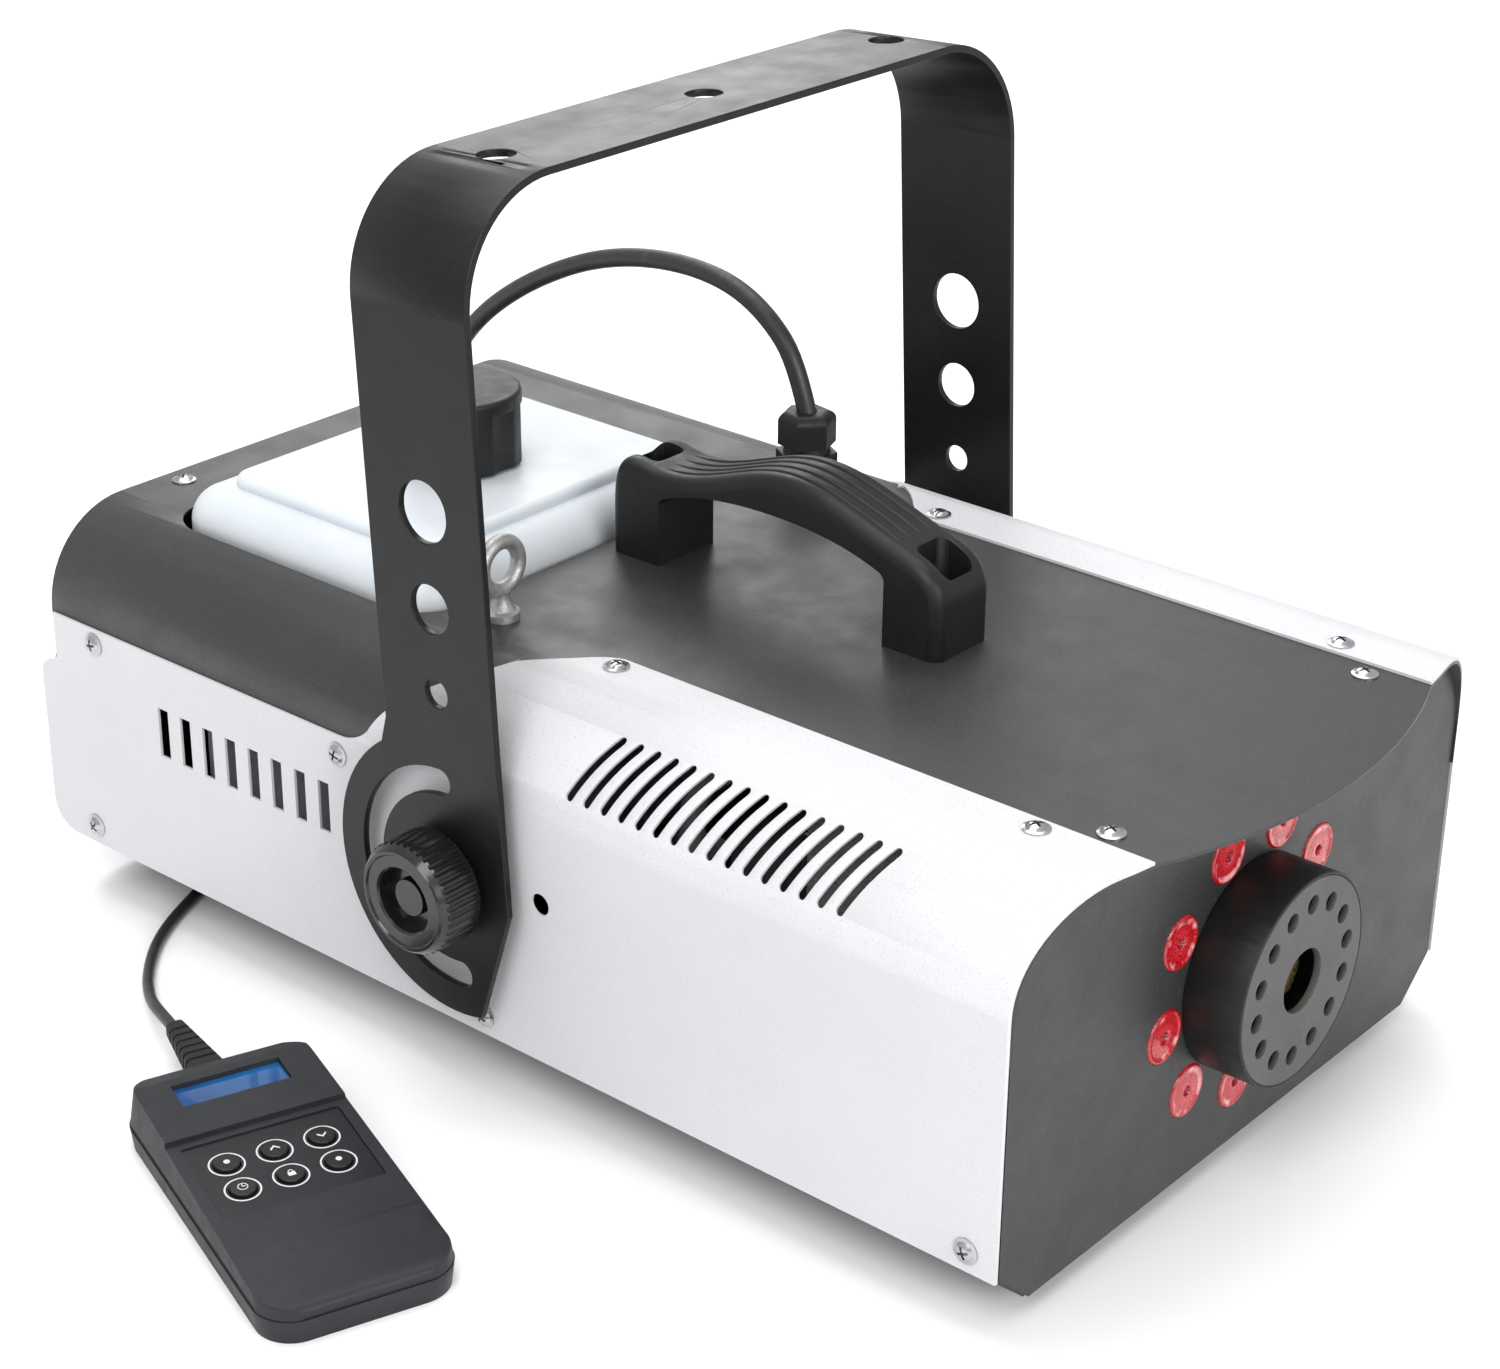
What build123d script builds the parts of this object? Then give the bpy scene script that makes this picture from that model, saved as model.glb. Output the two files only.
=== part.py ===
from build123d import *
import math
import os

# Fog machine with a yoke bracket, a lift-out fluid tank, a ring of lights and a
# wired hand controller.  Millimetres, +Z up, the floor at Z = 0.  The nozzle
# faces -Y, and the middle of the housing's feet is the origin.

# ---------------------------------------------------------------- housing sizes
half_width = 125.0          # outer face of the side panels
front_y = -205.0            # outer face of the front panel
rear_y = 207.0              # outer face of the rear panel
housing_height = 136.0      # underside of the base to the top of the side panels
foot_height = 8.0
sheet = 1.0                 # steel sheet of every folded panel
bend_radius = 35.0          # long bends of the side panels and the cover
base_chamfer_x = 15.5
base_chamfer_z = 13.7
panel_gap = 0.2             # play between folded panels

base_z = foot_height
top_z = base_z + housing_height
cover_top_z = top_z - sheet
inner_half_width = half_width - 2 * sheet - panel_gap
bend_z = top_z - bend_radius
skirt_z = base_z + base_chamfer_z

visor_reach = 28.0          # how far the cover's front edge stands past the front panel
strip_inner_x = 76.8        # inner edge of the side panels' top strips
strip_front_reach = 13.0
rear_shelf_z = base_z + 100.0
side_rear_y = rear_y + 10.0
cover_rear_y = rear_y + 2.5

# ------------------------------------------------------------------ front piece
nozzle_z = base_z + 66.0
shroud_r = 34.8
shroud_wall = 3.0
shroud_length = 20.3
nozzle_plate_t = 2.5
nozzle_hole_r = 10.5
plate_hole_r = 3.1
plate_hole_ring_r = 25.5
plate_hole_count = 14
led_ring_r = 44.2
led_count = 9
lens_r = 8.8
lens_gap = 0.15

# ---------------------------------------------------------------- yoke bracket
pivot_y = 5.0
pivot_z = base_z + 72.0
yoke_lean = 3.0             # degrees that the yoke leans back at rest
yoke_outer_x = half_width + 8.1
yoke_t = 2.5
yoke_height = 223.0         # pivot to the top of the strap
yoke_width = 48.0
yoke_forward = 1.5          # middle of the strap stands this far in front of the pivot
yoke_corner_r = 38.0
clamp_hole_r = 6.0
clamp_hole_x = 92.7
arm_holes = ((63.6, 4.8), (91.6, 8.0), (122.9, 10.0))    # height over the pivot, radius
plate_r = 48.0
slot_r = 33.4
slot_width = 8.8
slot_start = 90.0
slot_end = -96.0
stud_r = 4.0
stud_gap = 0.06
side_gap = 0.1              # between the yoke and what it slides against
guide_angle = -30.0
guide_r = 4.2

knob_r = 18.9
knob_depth = 17.0
knob_flutes = 40
knob_face_r = 16.7
knob_recess_r = 10.6

# ------------------------------------------------------------------- the tank
tank_size = (150.0, 124.0, 135.0)
tank_centre = (-18.0, 114.0)
tank_floor_z = base_z + 16.0
tank_corner_r = 16.0
opening_gap = 3.0
tank_wall = 2.0
tank_round = 13.0           # round of the tank's upper edges
tank_step = 4.0             # the roof's middle stands this far above its rim
cap_r = 21.5
cap_height = 26.0
cap_gap = 0.3
neck_r = 17.0
neck_height = 15.0
neck_x, neck_y = -17.0, 112.0
spout_r = 9.0
spout_gap = 0.3

# --------------------------------------------------------- top fittings, cords
handle_width = 28.0
handle_front_y = -94.5
handle_rear_y = 44.6
handle_foot = 22.0
handle_rise = 45.0
gland_x, gland_y = 82.0, 37.5
gland_top_z = cover_top_z + 25.0
eyebolt_x, eyebolt_y = -78.0, 33.0
eye_ring_r = 8.2
eye_wire_r = 2.6
mains_r = 3.5
remote_cord_r = 2.0

# ------------------------------------------------------------- hand controller
remote_x, remote_y = -211.9, -2.3
remote_turn = -20.3
remote_width = 63.0
remote_length = 129.0
remote_low = 13.0           # height at the thumb end
remote_high = 21.0          # height at the cable end
remote_base_h = 8.0
remote_corner_r = 13.0
keypad_size = (52.0, 38.0)
keypad_y = 2.0
button_r = 4.2
button_gap = 0.3
button_travel = 0.8
button_pitch = (15.5, 13.5)
display_size = (35.0, 11.0)

# ------------------------------------------------------------------- fasteners
screw_head_r = 4.3
screw_head_h = 2.0
screw_shank_r = 1.9
screw_length = 6.0

os.makedirs("parts", exist_ok=True)


def save(shape, name):
    shape.label = name
    export_step(shape, "parts/" + name + ".step")


def group(shapes):
    """Several separate solids that share one node."""
    return Compound(children=list(shapes))


def sheet_edge(outer_x, top, radius, low, inner_x, thickness):
    """Section of a folded sheet: a side, a long bend and a flat top, for x > 0."""
    centre = (outer_x - radius, top - radius)
    with BuildLine() as edge:
        Line((outer_x, low), (outer_x, centre[1]))
        CenterArc(centre, radius, 0, 90)
        Polyline((centre[0], top), (inner_x, top), (inner_x, top - thickness),
                 (centre[0], top - thickness))
        CenterArc(centre, radius - thickness, 0, 90)
        Polyline((outer_x - thickness, centre[1]), (outer_x - thickness, low), (outer_x, low))
    return edge.edges()


def front_outline(margin):
    """Plan of the housing with its curved front edge, for trimming the folded sheets."""
    outer = half_width + margin
    with BuildLine() as line:
        ThreePointArc((-strip_inner_x, front_y - strip_front_reach), (0, front_y - visor_reach),
                      (strip_inner_x, front_y - strip_front_reach))
        for side in (1, -1):
            ThreePointArc((side * strip_inner_x, front_y - strip_front_reach),
                          (side * 0.5 * (strip_inner_x + half_width), front_y - 0.62 * strip_front_reach),
                          (side * half_width, front_y))
        Polyline((half_width, front_y), (outer, front_y), (outer, side_rear_y + margin),
                 (-outer, side_rear_y + margin), (-outer, front_y), (-half_width, front_y))
    return line.edges()


# ------------------------------------------------------------------- side panels
vent_count = 16
vent_pitch = 7.0
vent_middle_y = -96.75
vent_angle = 37.0           # place of the vents round the bend
vent_size = (26.5, 3.0)
vent_slant = 25.0
rear_slots = 8
rear_slot_pitch = 11.5
rear_slot_size = (5.2, 18.5)
rear_slot_y = 110.75
rear_slot_z = base_z + 71.3
spare_hole = (-27.6, base_z + 71.3)
spare_hole_r = 3.7
bend_x = half_width - bend_radius
vent_plane = Plane(
    origin=(bend_x + bend_radius * math.cos(math.radians(vent_angle)), vent_middle_y,
            bend_z + bend_radius * math.sin(math.radians(vent_angle))),
    x_dir=(-math.sin(math.radians(vent_angle)), 0, math.cos(math.radians(vent_angle))),
    z_dir=(math.cos(math.radians(vent_angle)), 0, math.sin(math.radians(vent_angle))))

side_screws = ((-194.6, base_z + 20.8), (-1.6, base_z + 20.8), (193.5, base_z + 20.8),
               (185.9, base_z + 94.5), (62.6, base_z + 93.4))
strip_screws = ((82.8, -21.7), (82.8, -182.1))
cover_screws = ((69.6, -198.6), (68.9, 200.3))

with BuildPart() as side_panel_right:
    with BuildSketch(Plane.XZ.offset(-side_rear_y)):
        make_face(sheet_edge(half_width, top_z, bend_radius, skirt_z, strip_inner_x, sheet))
    extrude(amount=side_rear_y - front_y + visor_reach)
    with BuildSketch(Plane.XY):
        make_face(front_outline(1))
    extrude(amount=top_z + 1, mode=Mode.INTERSECT)
    # the rear shelf, where the panel drops below the black cover
    with BuildSketch(Plane.YZ):
        with BuildLine():
            Line((side_rear_y + 1, rear_shelf_z), (62, rear_shelf_z))
            ThreePointArc((62, rear_shelf_z), (53.5, rear_shelf_z + 2.2), (48.4, rear_shelf_z + 6))
            Spline((48.4, rear_shelf_z + 6), (42.5, rear_shelf_z + 14), (27, rear_shelf_z + 25.5),
                   (5.4, top_z - 0.9))
            Polyline((5.4, top_z - 0.9), (5.4, top_z + 1), (side_rear_y + 1, top_z + 1),
                     (side_rear_y + 1, rear_shelf_z))
        make_face()
    extrude(amount=half_width + 1, mode=Mode.SUBTRACT)
    with BuildSketch(Plane.XY.offset(top_z - 2 * sheet)):
        with BuildLine():
            Spline((bend_x + 9, 7), (bend_x + 4, 0.3), (bend_x - 2.5, -6.5), (bend_x - 9.3, -13),
                   (strip_inner_x, -28))
            Polyline((strip_inner_x, -28), (strip_inner_x - 5, -28), (strip_inner_x - 5, 7),
                     (bend_x + 9, 7))
        make_face()
    extrude(amount=3 * sheet, mode=Mode.SUBTRACT)
    # the rear edge is notched above the ears, and its lower corner is rounded
    with BuildSketch(Plane.YZ):
        with BuildLine():
            Line((side_rear_y + 1, base_z + 75), (side_rear_y, base_z + 75))
            ThreePointArc((side_rear_y, base_z + 75), (side_rear_y - 2.6, base_z + 79.6),
                          (side_rear_y - 6, base_z + 81))
            Polyline((side_rear_y - 6, base_z + 81), (side_rear_y - 9, base_z + 83),
                     (side_rear_y - 9, rear_shelf_z + 1), (side_rear_y + 1, rear_shelf_z + 1),
                     (side_rear_y + 1, base_z + 75))
        make_face()
    extrude(amount=half_width + 1, mode=Mode.SUBTRACT)
    corner = side_panel_right.edges().filter_by(Axis.X).group_by(Axis.Z)[0].sort_by(Axis.Y)[-1]
    fillet(corner, 11)
    with BuildSketch(vent_plane):
        with GridLocations(vent_size[0], vent_pitch, 1, vent_count):
            SlotOverall(*vent_size, rotation=vent_slant)
    extrude(amount=bend_radius / 2, both=True, mode=Mode.SUBTRACT)
    with BuildSketch(Plane.YZ.offset(half_width - 2 * sheet)):
        with Locations((rear_slot_y, rear_slot_z)):
            with GridLocations(rear_slot_pitch, 1, rear_slots, 1):
                Rectangle(*rear_slot_size)
        with Locations(spare_hole):
            Circle(spare_hole_r)
        with Locations((pivot_y, pivot_z)):
            Circle(stud_r + 0.3)
        guide_y = pivot_y + slot_r * math.cos(math.radians(guide_angle))
        guide_z = pivot_z + slot_r * math.sin(math.radians(guide_angle))
        with Locations((guide_y, guide_z)):
            Circle(guide_r + 0.1)
        with Locations(*side_screws):
            Circle(screw_shank_r + 0.15)
    extrude(amount=3 * sheet, mode=Mode.SUBTRACT)
    with BuildSketch(Plane.XY.offset(top_z - 2 * sheet)):
        with Locations(*strip_screws):
            Circle(screw_shank_r + 0.15)
    extrude(amount=3 * sheet, mode=Mode.SUBTRACT)
save(side_panel_right.part, "side_panel_right")
side_panel_left = mirror(side_panel_right.part, about=Plane.YZ)
save(side_panel_left, "side_panel_left")

# --------------------------------------------------------------------- top cover
cover_low_z = base_z + 86.0
opening_size = (tank_size[0] + 2 * opening_gap, tank_size[1] + 2 * opening_gap)
cover_outer_x = half_width - sheet - panel_gap / 2
with BuildPart() as top_cover:
    with BuildSketch(Plane.XZ.offset(-cover_rear_y)):
        make_face(sheet_edge(cover_outer_x, cover_top_z, bend_radius - sheet, cover_low_z, 0, sheet))
        mirror(about=Plane.YZ)
    extrude(amount=cover_rear_y - front_y + visor_reach)
    with BuildSketch(Plane.XY):
        make_face(front_outline(1))
    extrude(amount=top_z, mode=Mode.INTERSECT)
    with BuildSketch(Plane.XY.offset(top_z - 4 * sheet)):
        with Locations(tank_centre):
            RectangleRounded(*opening_size, tank_corner_r)
        with Locations(*[(side * x, y) for side in (-1, 1) for x, y in strip_screws + cover_screws]):
            Circle(screw_shank_r + 0.15)
        with Locations((gland_x, gland_y)):
            Circle(8.2)
        with Locations((eyebolt_x, eyebolt_y)):
            Circle(3.2)
        for y in (handle_front_y + 9, handle_rear_y - 9):
            with Locations((0, y)):
                Circle(2.7)
    extrude(amount=5 * sheet, mode=Mode.SUBTRACT)
    for side in (1, -1):
        window = vent_plane if side == 1 else Plane(
            origin=(-vent_plane.origin.X, vent_middle_y, vent_plane.origin.Z),
            x_dir=(-vent_plane.x_dir.X, 0, vent_plane.x_dir.Z),
            z_dir=(-vent_plane.z_dir.X, 0, vent_plane.z_dir.Z))
        with BuildSketch(window):
            Rectangle(vent_size[0] + 2, vent_count * vent_pitch + 8)
        extrude(amount=bend_radius / 2, both=True, mode=Mode.SUBTRACT)
    with BuildSketch(Plane.YZ.offset(-half_width)):
        with Locations(*side_screws[3:]):
            Circle(screw_shank_r + 0.15)
    extrude(amount=2 * half_width, mode=Mode.SUBTRACT)
save(top_cover.part, "top_cover")

# ------------------------------------------------------------- base, front, rear
flange_z = base_z + 40.0
tray_outer_x = half_width - sheet - panel_gap / 2
foot_x, foot_y = 85.0, 150.0
foot_r = 10.0
with BuildPart() as base_tray:
    with BuildSketch(Plane.XZ.offset(-(rear_y - sheet - panel_gap))):
        with BuildLine():
            Polyline((0, base_z), (tray_outer_x - base_chamfer_x, base_z), (tray_outer_x, skirt_z),
                     (tray_outer_x, flange_z), (tray_outer_x - sheet, flange_z),
                     (tray_outer_x - sheet, skirt_z + 0.4),
                     (tray_outer_x - base_chamfer_x - 0.4, base_z + sheet), (0, base_z + sheet),
                     (0, base_z))
        make_face()
        mirror(about=Plane.YZ)
    extrude(amount=rear_y - front_y - 2 * (sheet + panel_gap))
    with BuildSketch(Plane.XY.offset(base_z - 1)):
        with GridLocations(2 * foot_x, 2 * foot_y, 2, 2):
            Circle(screw_shank_r + 0.2)
        with Locations(*[(0, -120 + 10 * i) for i in range(7)]):
            SlotOverall(70, 4)
    extrude(amount=3 * sheet, mode=Mode.SUBTRACT)
    with BuildSketch(Plane.YZ.offset(-half_width)):
        with Locations(*side_screws[:3]):
            Circle(screw_shank_r + 0.15)
    extrude(amount=2 * half_width, mode=Mode.SUBTRACT)
save(base_tray.part, "base_tray")


def end_panel_outline(half, top, radius):
    """Outline of the front and rear panels: chamfered below and rounded above."""
    with BuildLine() as line:
        Polyline((0, base_z), (half - base_chamfer_x, base_z), (half, skirt_z), (half, top - radius))
        CenterArc((half - radius, top - radius), radius, 0, 90)
        Polyline((half - radius, top), (0, top))
        mirror(about=Plane.YZ)
    return line.edges()


lens_spots = [(led_ring_r * math.cos(math.radians(270 + 360 / led_count * i)),
               nozzle_z + led_ring_r * math.sin(math.radians(270 + 360 / led_count * i)))
              for i in range(led_count)]
end_top_z = cover_top_z - sheet - panel_gap
end_bend_r = bend_radius - 2 * sheet - panel_gap
with BuildPart() as front_panel:
    with BuildSketch(Plane.XZ.offset(-front_y)):
        make_face(end_panel_outline(inner_half_width, end_top_z, end_bend_r))
        with Locations(*lens_spots):
            Circle(lens_r + lens_gap, mode=Mode.SUBTRACT)
        with Locations((0, nozzle_z)):
            Circle(shroud_r - shroud_wall - 8, mode=Mode.SUBTRACT)
    extrude(amount=-sheet)
save(front_panel.part, "front_panel")

switch_x, switch_z = 88.0, base_z + 92.0
switch_size = (13.0, 19.5)
fuse_x, fuse_z = 88.0, base_z + 58.0
fuse_r = 6.0
xlr_x, xlr_z = (-8.0, 30.0), base_z + 72.0
xlr_r = 11.5
socket_x, socket_z = -50.0, base_z + 60.0
socket_r = 7.0
with BuildPart() as rear_panel:
    with BuildSketch(Plane.XZ.offset(-rear_y)):
        make_face(end_panel_outline(inner_half_width, end_top_z, end_bend_r))
        with Locations((switch_x, switch_z)):
            Rectangle(switch_size[0] + 0.2, switch_size[1] + 0.2, mode=Mode.SUBTRACT)
        with Locations((fuse_x, fuse_z)):
            Circle(fuse_r + 0.1, mode=Mode.SUBTRACT)
        with Locations(*[(x, xlr_z) for x in xlr_x]):
            Circle(xlr_r + 0.1, mode=Mode.SUBTRACT)
        with Locations((socket_x, socket_z)):
            Circle(socket_r + 0.1, mode=Mode.SUBTRACT)
        with Locations((-100, base_z + 30)):
            with GridLocations(6, 1, 4, 1):
                SlotOverall(22, 3, rotation=90, mode=Mode.SUBTRACT)
    extrude(amount=sheet)
save(rear_panel.part, "rear_panel")

with BuildPart() as feet:
    with GridLocations(2 * foot_x, 2 * foot_y, 2, 2):
        Cone(foot_r - 1, foot_r, foot_height, align=(Align.CENTER, Align.CENTER, Align.MIN))
        with Locations((0, 0, 0)):
            Cylinder(3.6, 3, align=(Align.CENTER, Align.CENTER, Align.MIN), mode=Mode.SUBTRACT)
            Cylinder(screw_shank_r, foot_height, align=(Align.CENTER, Align.CENTER, Align.MIN),
                     mode=Mode.SUBTRACT)
    # a plain pad under the middle of the tray
    with Locations((0, 0, 0)):
        Cylinder(foot_r, foot_height, align=(Align.CENTER, Align.CENTER, Align.MIN))
save(feet.part, "feet")


# -------------------------------------------------------------------- the screws
def pan_screw(head_r, head_h, shank_r, length):
    """Washer-head screw along +Z, with its head's seat at the origin and a cross recess."""
    with BuildPart() as screw:
        with BuildSketch(Plane.XZ):
            with BuildLine():
                Polyline((0, -length), (shank_r, -length), (shank_r, 0), (head_r, 0),
                         (head_r, 0.25 * head_h), (0.78 * head_r, 0.4 * head_h))
                ThreePointArc((0.78 * head_r, 0.4 * head_h), (0.45 * head_r, 0.88 * head_h), (0, head_h))
                Line((0, head_h), (0, -length))
            make_face()
        revolve(axis=Axis.Z)
        with BuildSketch(Plane.XY.offset(head_h + 1)):
            Rectangle(0.95 * head_r, 0.2 * head_r)
            Rectangle(0.2 * head_r, 0.95 * head_r)
        extrude(amount=-(0.72 * head_h + 1), mode=Mode.SUBTRACT)
    return screw.part


housing_screw = pan_screw(screw_head_r, screw_head_h, screw_shank_r, screw_length)
screw_places = []
for side in (1, -1):
    for y, z in side_screws:
        seat = Plane(origin=(side * half_width, y, z), z_dir=(side, 0, 0))
        screw_places.append(seat.location * Rot(0, 0, 17 * y % 90))
    for x, y in strip_screws:
        screw_places.append(Pos(side * x, y, top_z) * Rot(0, 0, 13 * y % 90))
    for x, y in cover_screws:
        screw_places.append(Pos(side * x, y, cover_top_z) * Rot(0, 0, 11 * y % 90))
housing_screws = group(place * housing_screw for place in screw_places)
save(housing_screws, "housing_screws")

# ------------------------------------------------------------------------ handle
handle_base_z = cover_top_z
handle_top_z = handle_base_z + handle_rise
handle_mid_y = 0.5 * (handle_front_y + handle_rear_y)
grip_under_z = handle_top_z - 13.0
handle_shoulder_z = handle_base_z + 17.0
pocket_floor_z = handle_base_z + 11.0


def handle_arch(rise):
    """Outer line of the handle seen from the side, with a raised or lowered arch."""
    with BuildLine() as arch:
        Spline((handle_front_y, handle_shoulder_z), (handle_front_y + 17, handle_top_z - 11.5 + rise),
               (handle_mid_y, handle_top_z + rise), (handle_rear_y - 17, handle_top_z - 11.5 + rise),
               (handle_rear_y, handle_shoulder_z), tangents=((0, 1), (0, -1)))
    return arch.edges()


with BuildPart() as handle:
    with BuildSketch(Plane.YZ.offset(-handle_width / 2)):
        with BuildLine():
            add(handle_arch(0))
            Polyline((handle_front_y, handle_shoulder_z), (handle_front_y, handle_base_z),
                     (handle_front_y + handle_foot, handle_base_z),
                     (handle_front_y + handle_foot, grip_under_z - 8))
            Spline((handle_front_y + handle_foot, grip_under_z - 8), (handle_mid_y, grip_under_z),
                   (handle_rear_y - handle_foot, grip_under_z - 8),
                   tangents=((1, 0.42), (1, -0.42)))
            Polyline((handle_rear_y - handle_foot, grip_under_z - 8),
                     (handle_rear_y - handle_foot, handle_base_z),
                     (handle_rear_y, handle_base_z), (handle_rear_y, handle_shoulder_z))
        make_face()
    extrude(amount=handle_width)
    grip_corners = handle.edges().filter_by(Axis.X).filter_by_position(
        Axis.Z, grip_under_z - 10, grip_under_z - 6)
    fillet(grip_corners, 3.5)
    rims = (handle.faces().sort_by(Axis.X)[0].edges() + handle.faces().sort_by(Axis.X)[-1].edges())
    outer_rims = rims.filter_by(lambda e: e.length > handle_rear_y - handle_front_y or min(
        abs(e.center().Y - handle_front_y), abs(e.center().Y - handle_rear_y)) < 0.1)
    fillet(outer_rims, 4.5)
    # screw pockets in both shoulders
    for y in (handle_front_y + 9, handle_rear_y - 9):
        with BuildSketch(Plane.XY.offset(pocket_floor_z)):
            with Locations((0, y)):
                RectangleRounded(handle_width - 13, 13.5, 3)
        extrude(amount=handle_rise, mode=Mode.SUBTRACT)
        with BuildSketch(Plane.XY.offset(handle_base_z)):
            with Locations((0, y)):
                Circle(2.7)
        extrude(amount=pocket_floor_z, mode=Mode.SUBTRACT)
save(handle.part, "handle")

handle_screw = pan_screw(4.6, 2.8, 2.4, pocket_floor_z - handle_base_z + 6)
handle_screws = group(Pos(0, y, pocket_floor_z) * handle_screw
                      for y in (handle_front_y + 9, handle_rear_y - 9))
save(handle_screws, "handle_screws")

# ----------------------------------------------------------------------- eyebolt
eye_centre_z = cover_top_z + 18.0
with BuildPart() as eyebolt:
    with Locations((eyebolt_x, eyebolt_y, eye_centre_z)):
        Torus(eye_ring_r, eye_wire_r, rotation=(90, 0, 0))
    with BuildSketch(Plane.XZ.offset(-eyebolt_y)):
        with BuildLine():
            Polyline((eyebolt_x, cover_top_z - 9), (eyebolt_x + 3, cover_top_z - 9),
                     (eyebolt_x + 3, cover_top_z), (eyebolt_x + 6, cover_top_z),
                     (eyebolt_x + 6, cover_top_z + 2.4), (eyebolt_x + 4.6, cover_top_z + 3.2))
            ThreePointArc((eyebolt_x + 4.6, cover_top_z + 3.2), (eyebolt_x + 3.2, cover_top_z + 6),
                          (eyebolt_x + 3.4, eye_centre_z - eye_ring_r))
            Polyline((eyebolt_x + 3.4, eye_centre_z - eye_ring_r), (eyebolt_x, eye_centre_z - eye_ring_r),
                     (eyebolt_x, cover_top_z - 9))
        make_face()
    revolve(axis=Axis((eyebolt_x, eyebolt_y, 0), (0, 0, 1)))
save(eyebolt.part, "eyebolt")

# ------------------------------------------------------------------- cable gland
cord_gap = 0.3
with BuildPart() as cable_gland:
    with BuildSketch(Plane.XY.offset(cover_top_z)):
        with Locations((gland_x, gland_y)):
            RegularPolygon(9.8, 6, major_radius=False)
    extrude(amount=10)
    with Locations((gland_x, gland_y, cover_top_z + 10)):
        Cylinder(8.4, 3, align=(Align.CENTER, Align.CENTER, Align.MIN))
    with Locations((gland_x, gland_y, cover_top_z)):
        Cylinder(8.0, 10, align=(Align.CENTER, Align.CENTER, Align.MAX))
    with Locations((gland_x, gland_y, cover_top_z - 10)):
        Cylinder(mains_r + cord_gap, 40, align=(Align.CENTER, Align.CENTER, Align.MIN),
                 mode=Mode.SUBTRACT)
save(cable_gland.part, "cable_gland")

with BuildPart() as gland_nut:
    with BuildSketch(Plane.XY.offset(cover_top_z + 13)):
        with Locations((gland_x, gland_y)):
            RegularPolygon(9.2, 6, major_radius=False, rotation=20)
    extrude(amount=gland_top_z - cover_top_z - 13)
    fillet(gland_nut.faces().sort_by(Axis.Z)[-1].edges(), 3.5)
    with Locations((gland_x, gland_y, cover_top_z + 12)):
        Cylinder(mains_r, 30, align=(Align.CENTER, Align.CENTER, Align.MIN), mode=Mode.SUBTRACT)
save(gland_nut.part, "gland_nut")


# ------------------------------------------------------------------------- cords
def arc_radii(points):
    """Largest radius that fits each corner of a route, 0.45 of its shorter run."""
    radii = []
    for before, here, after in zip(points, points[1:], points[2:]):
        a = Vector(*here) - Vector(*before)
        b = Vector(*after) - Vector(*here)
        half_turn = math.radians(a.get_angle(b)) / 2
        radii.append(0.45 * min(a.length, b.length) / math.tan(half_turn))
    return radii


def cord_tube(name, points, radius):
    """A cord along straight runs joined by tangent arcs; prints its radii and volume check."""
    radii = arc_radii(points)
    with BuildPart() as tube:
        with BuildLine() as route:
            FilletPolyline(*points, radius=radii)
        path = route.wire()
        with BuildSketch(Plane(origin=path @ 0, z_dir=path % 0)):
            Circle(radius)
        sweep(path=path)
    length = path.length
    print(name, "length", round(length, 1), "radii", [round(r) for r in radii],
          "volume ratio", round(tube.part.volume / (math.pi * radius ** 2 * length), 4))
    return tube.part


mains_coil_x, mains_coil_y = 105.0, 302.0
mains_coil_r = (25.5, 39.5)     # inner and outer
mains_coil_h = 28.0
mains_lay = mains_r + 0.1       # height of the cord's middle where it lies on the floor
mains_route = [
    (gland_x, gland_y, gland_top_z - 1), (82.0, 43.0, 185.0), (82.4, 55.5, 198.0), (82.8, 72.0, 206.5),
    (83.2, 93.0, 209.3), (83.6, 117.0, 207.5), (84.0, 141.0, 201.5), (84.5, 164.0, 191.5),
    (85.0, 186.5, 178.5), (85.6, 207.0, 162.5), (87.0, 224.0, 142.0), (90.0, 235.5, 117.5),
    (95.0, 242.0, 90.0), (101.0, 245.5, 63.5), (108.0, 249.5, 41.0), (116.5, 256.0, 22.5),
    (126.0, 266.0, 10.5), (134.5, 279.5, 4.6), (140.0, 295.0, mains_lay), (141.2, 311.0, mains_lay)]
plug_y = 344.0
plug_z = 19.0
plug_x = 62.0                   # where the cord enters the plug's boot
mains_tail = [(105.0, 338.0, 24.6), (89.0, 339.5, 24.0), (75.0, 342.5, 21.0), (plug_x, plug_y, plug_z)]
mains_cord = group([cord_tube("mains cord", mains_route, mains_r),
                    cord_tube("mains tail", mains_tail, mains_r)])
save(mains_cord, "mains_cord")


def coil(x, y, radii, height):
    """Outer shape of a neat coil of cord that lies on the floor."""
    with BuildPart() as ring:
        with BuildSketch():
            with Locations((x, y)):
                Circle(radii[1])
                Circle(radii[0], mode=Mode.SUBTRACT)
        extrude(amount=height)
        fillet(ring.edges().filter_by(GeomType.CIRCLE), 2.0)
    return ring.part


save(coil(mains_coil_x, mains_coil_y, mains_coil_r, mains_coil_h), "mains_coil")

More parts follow.
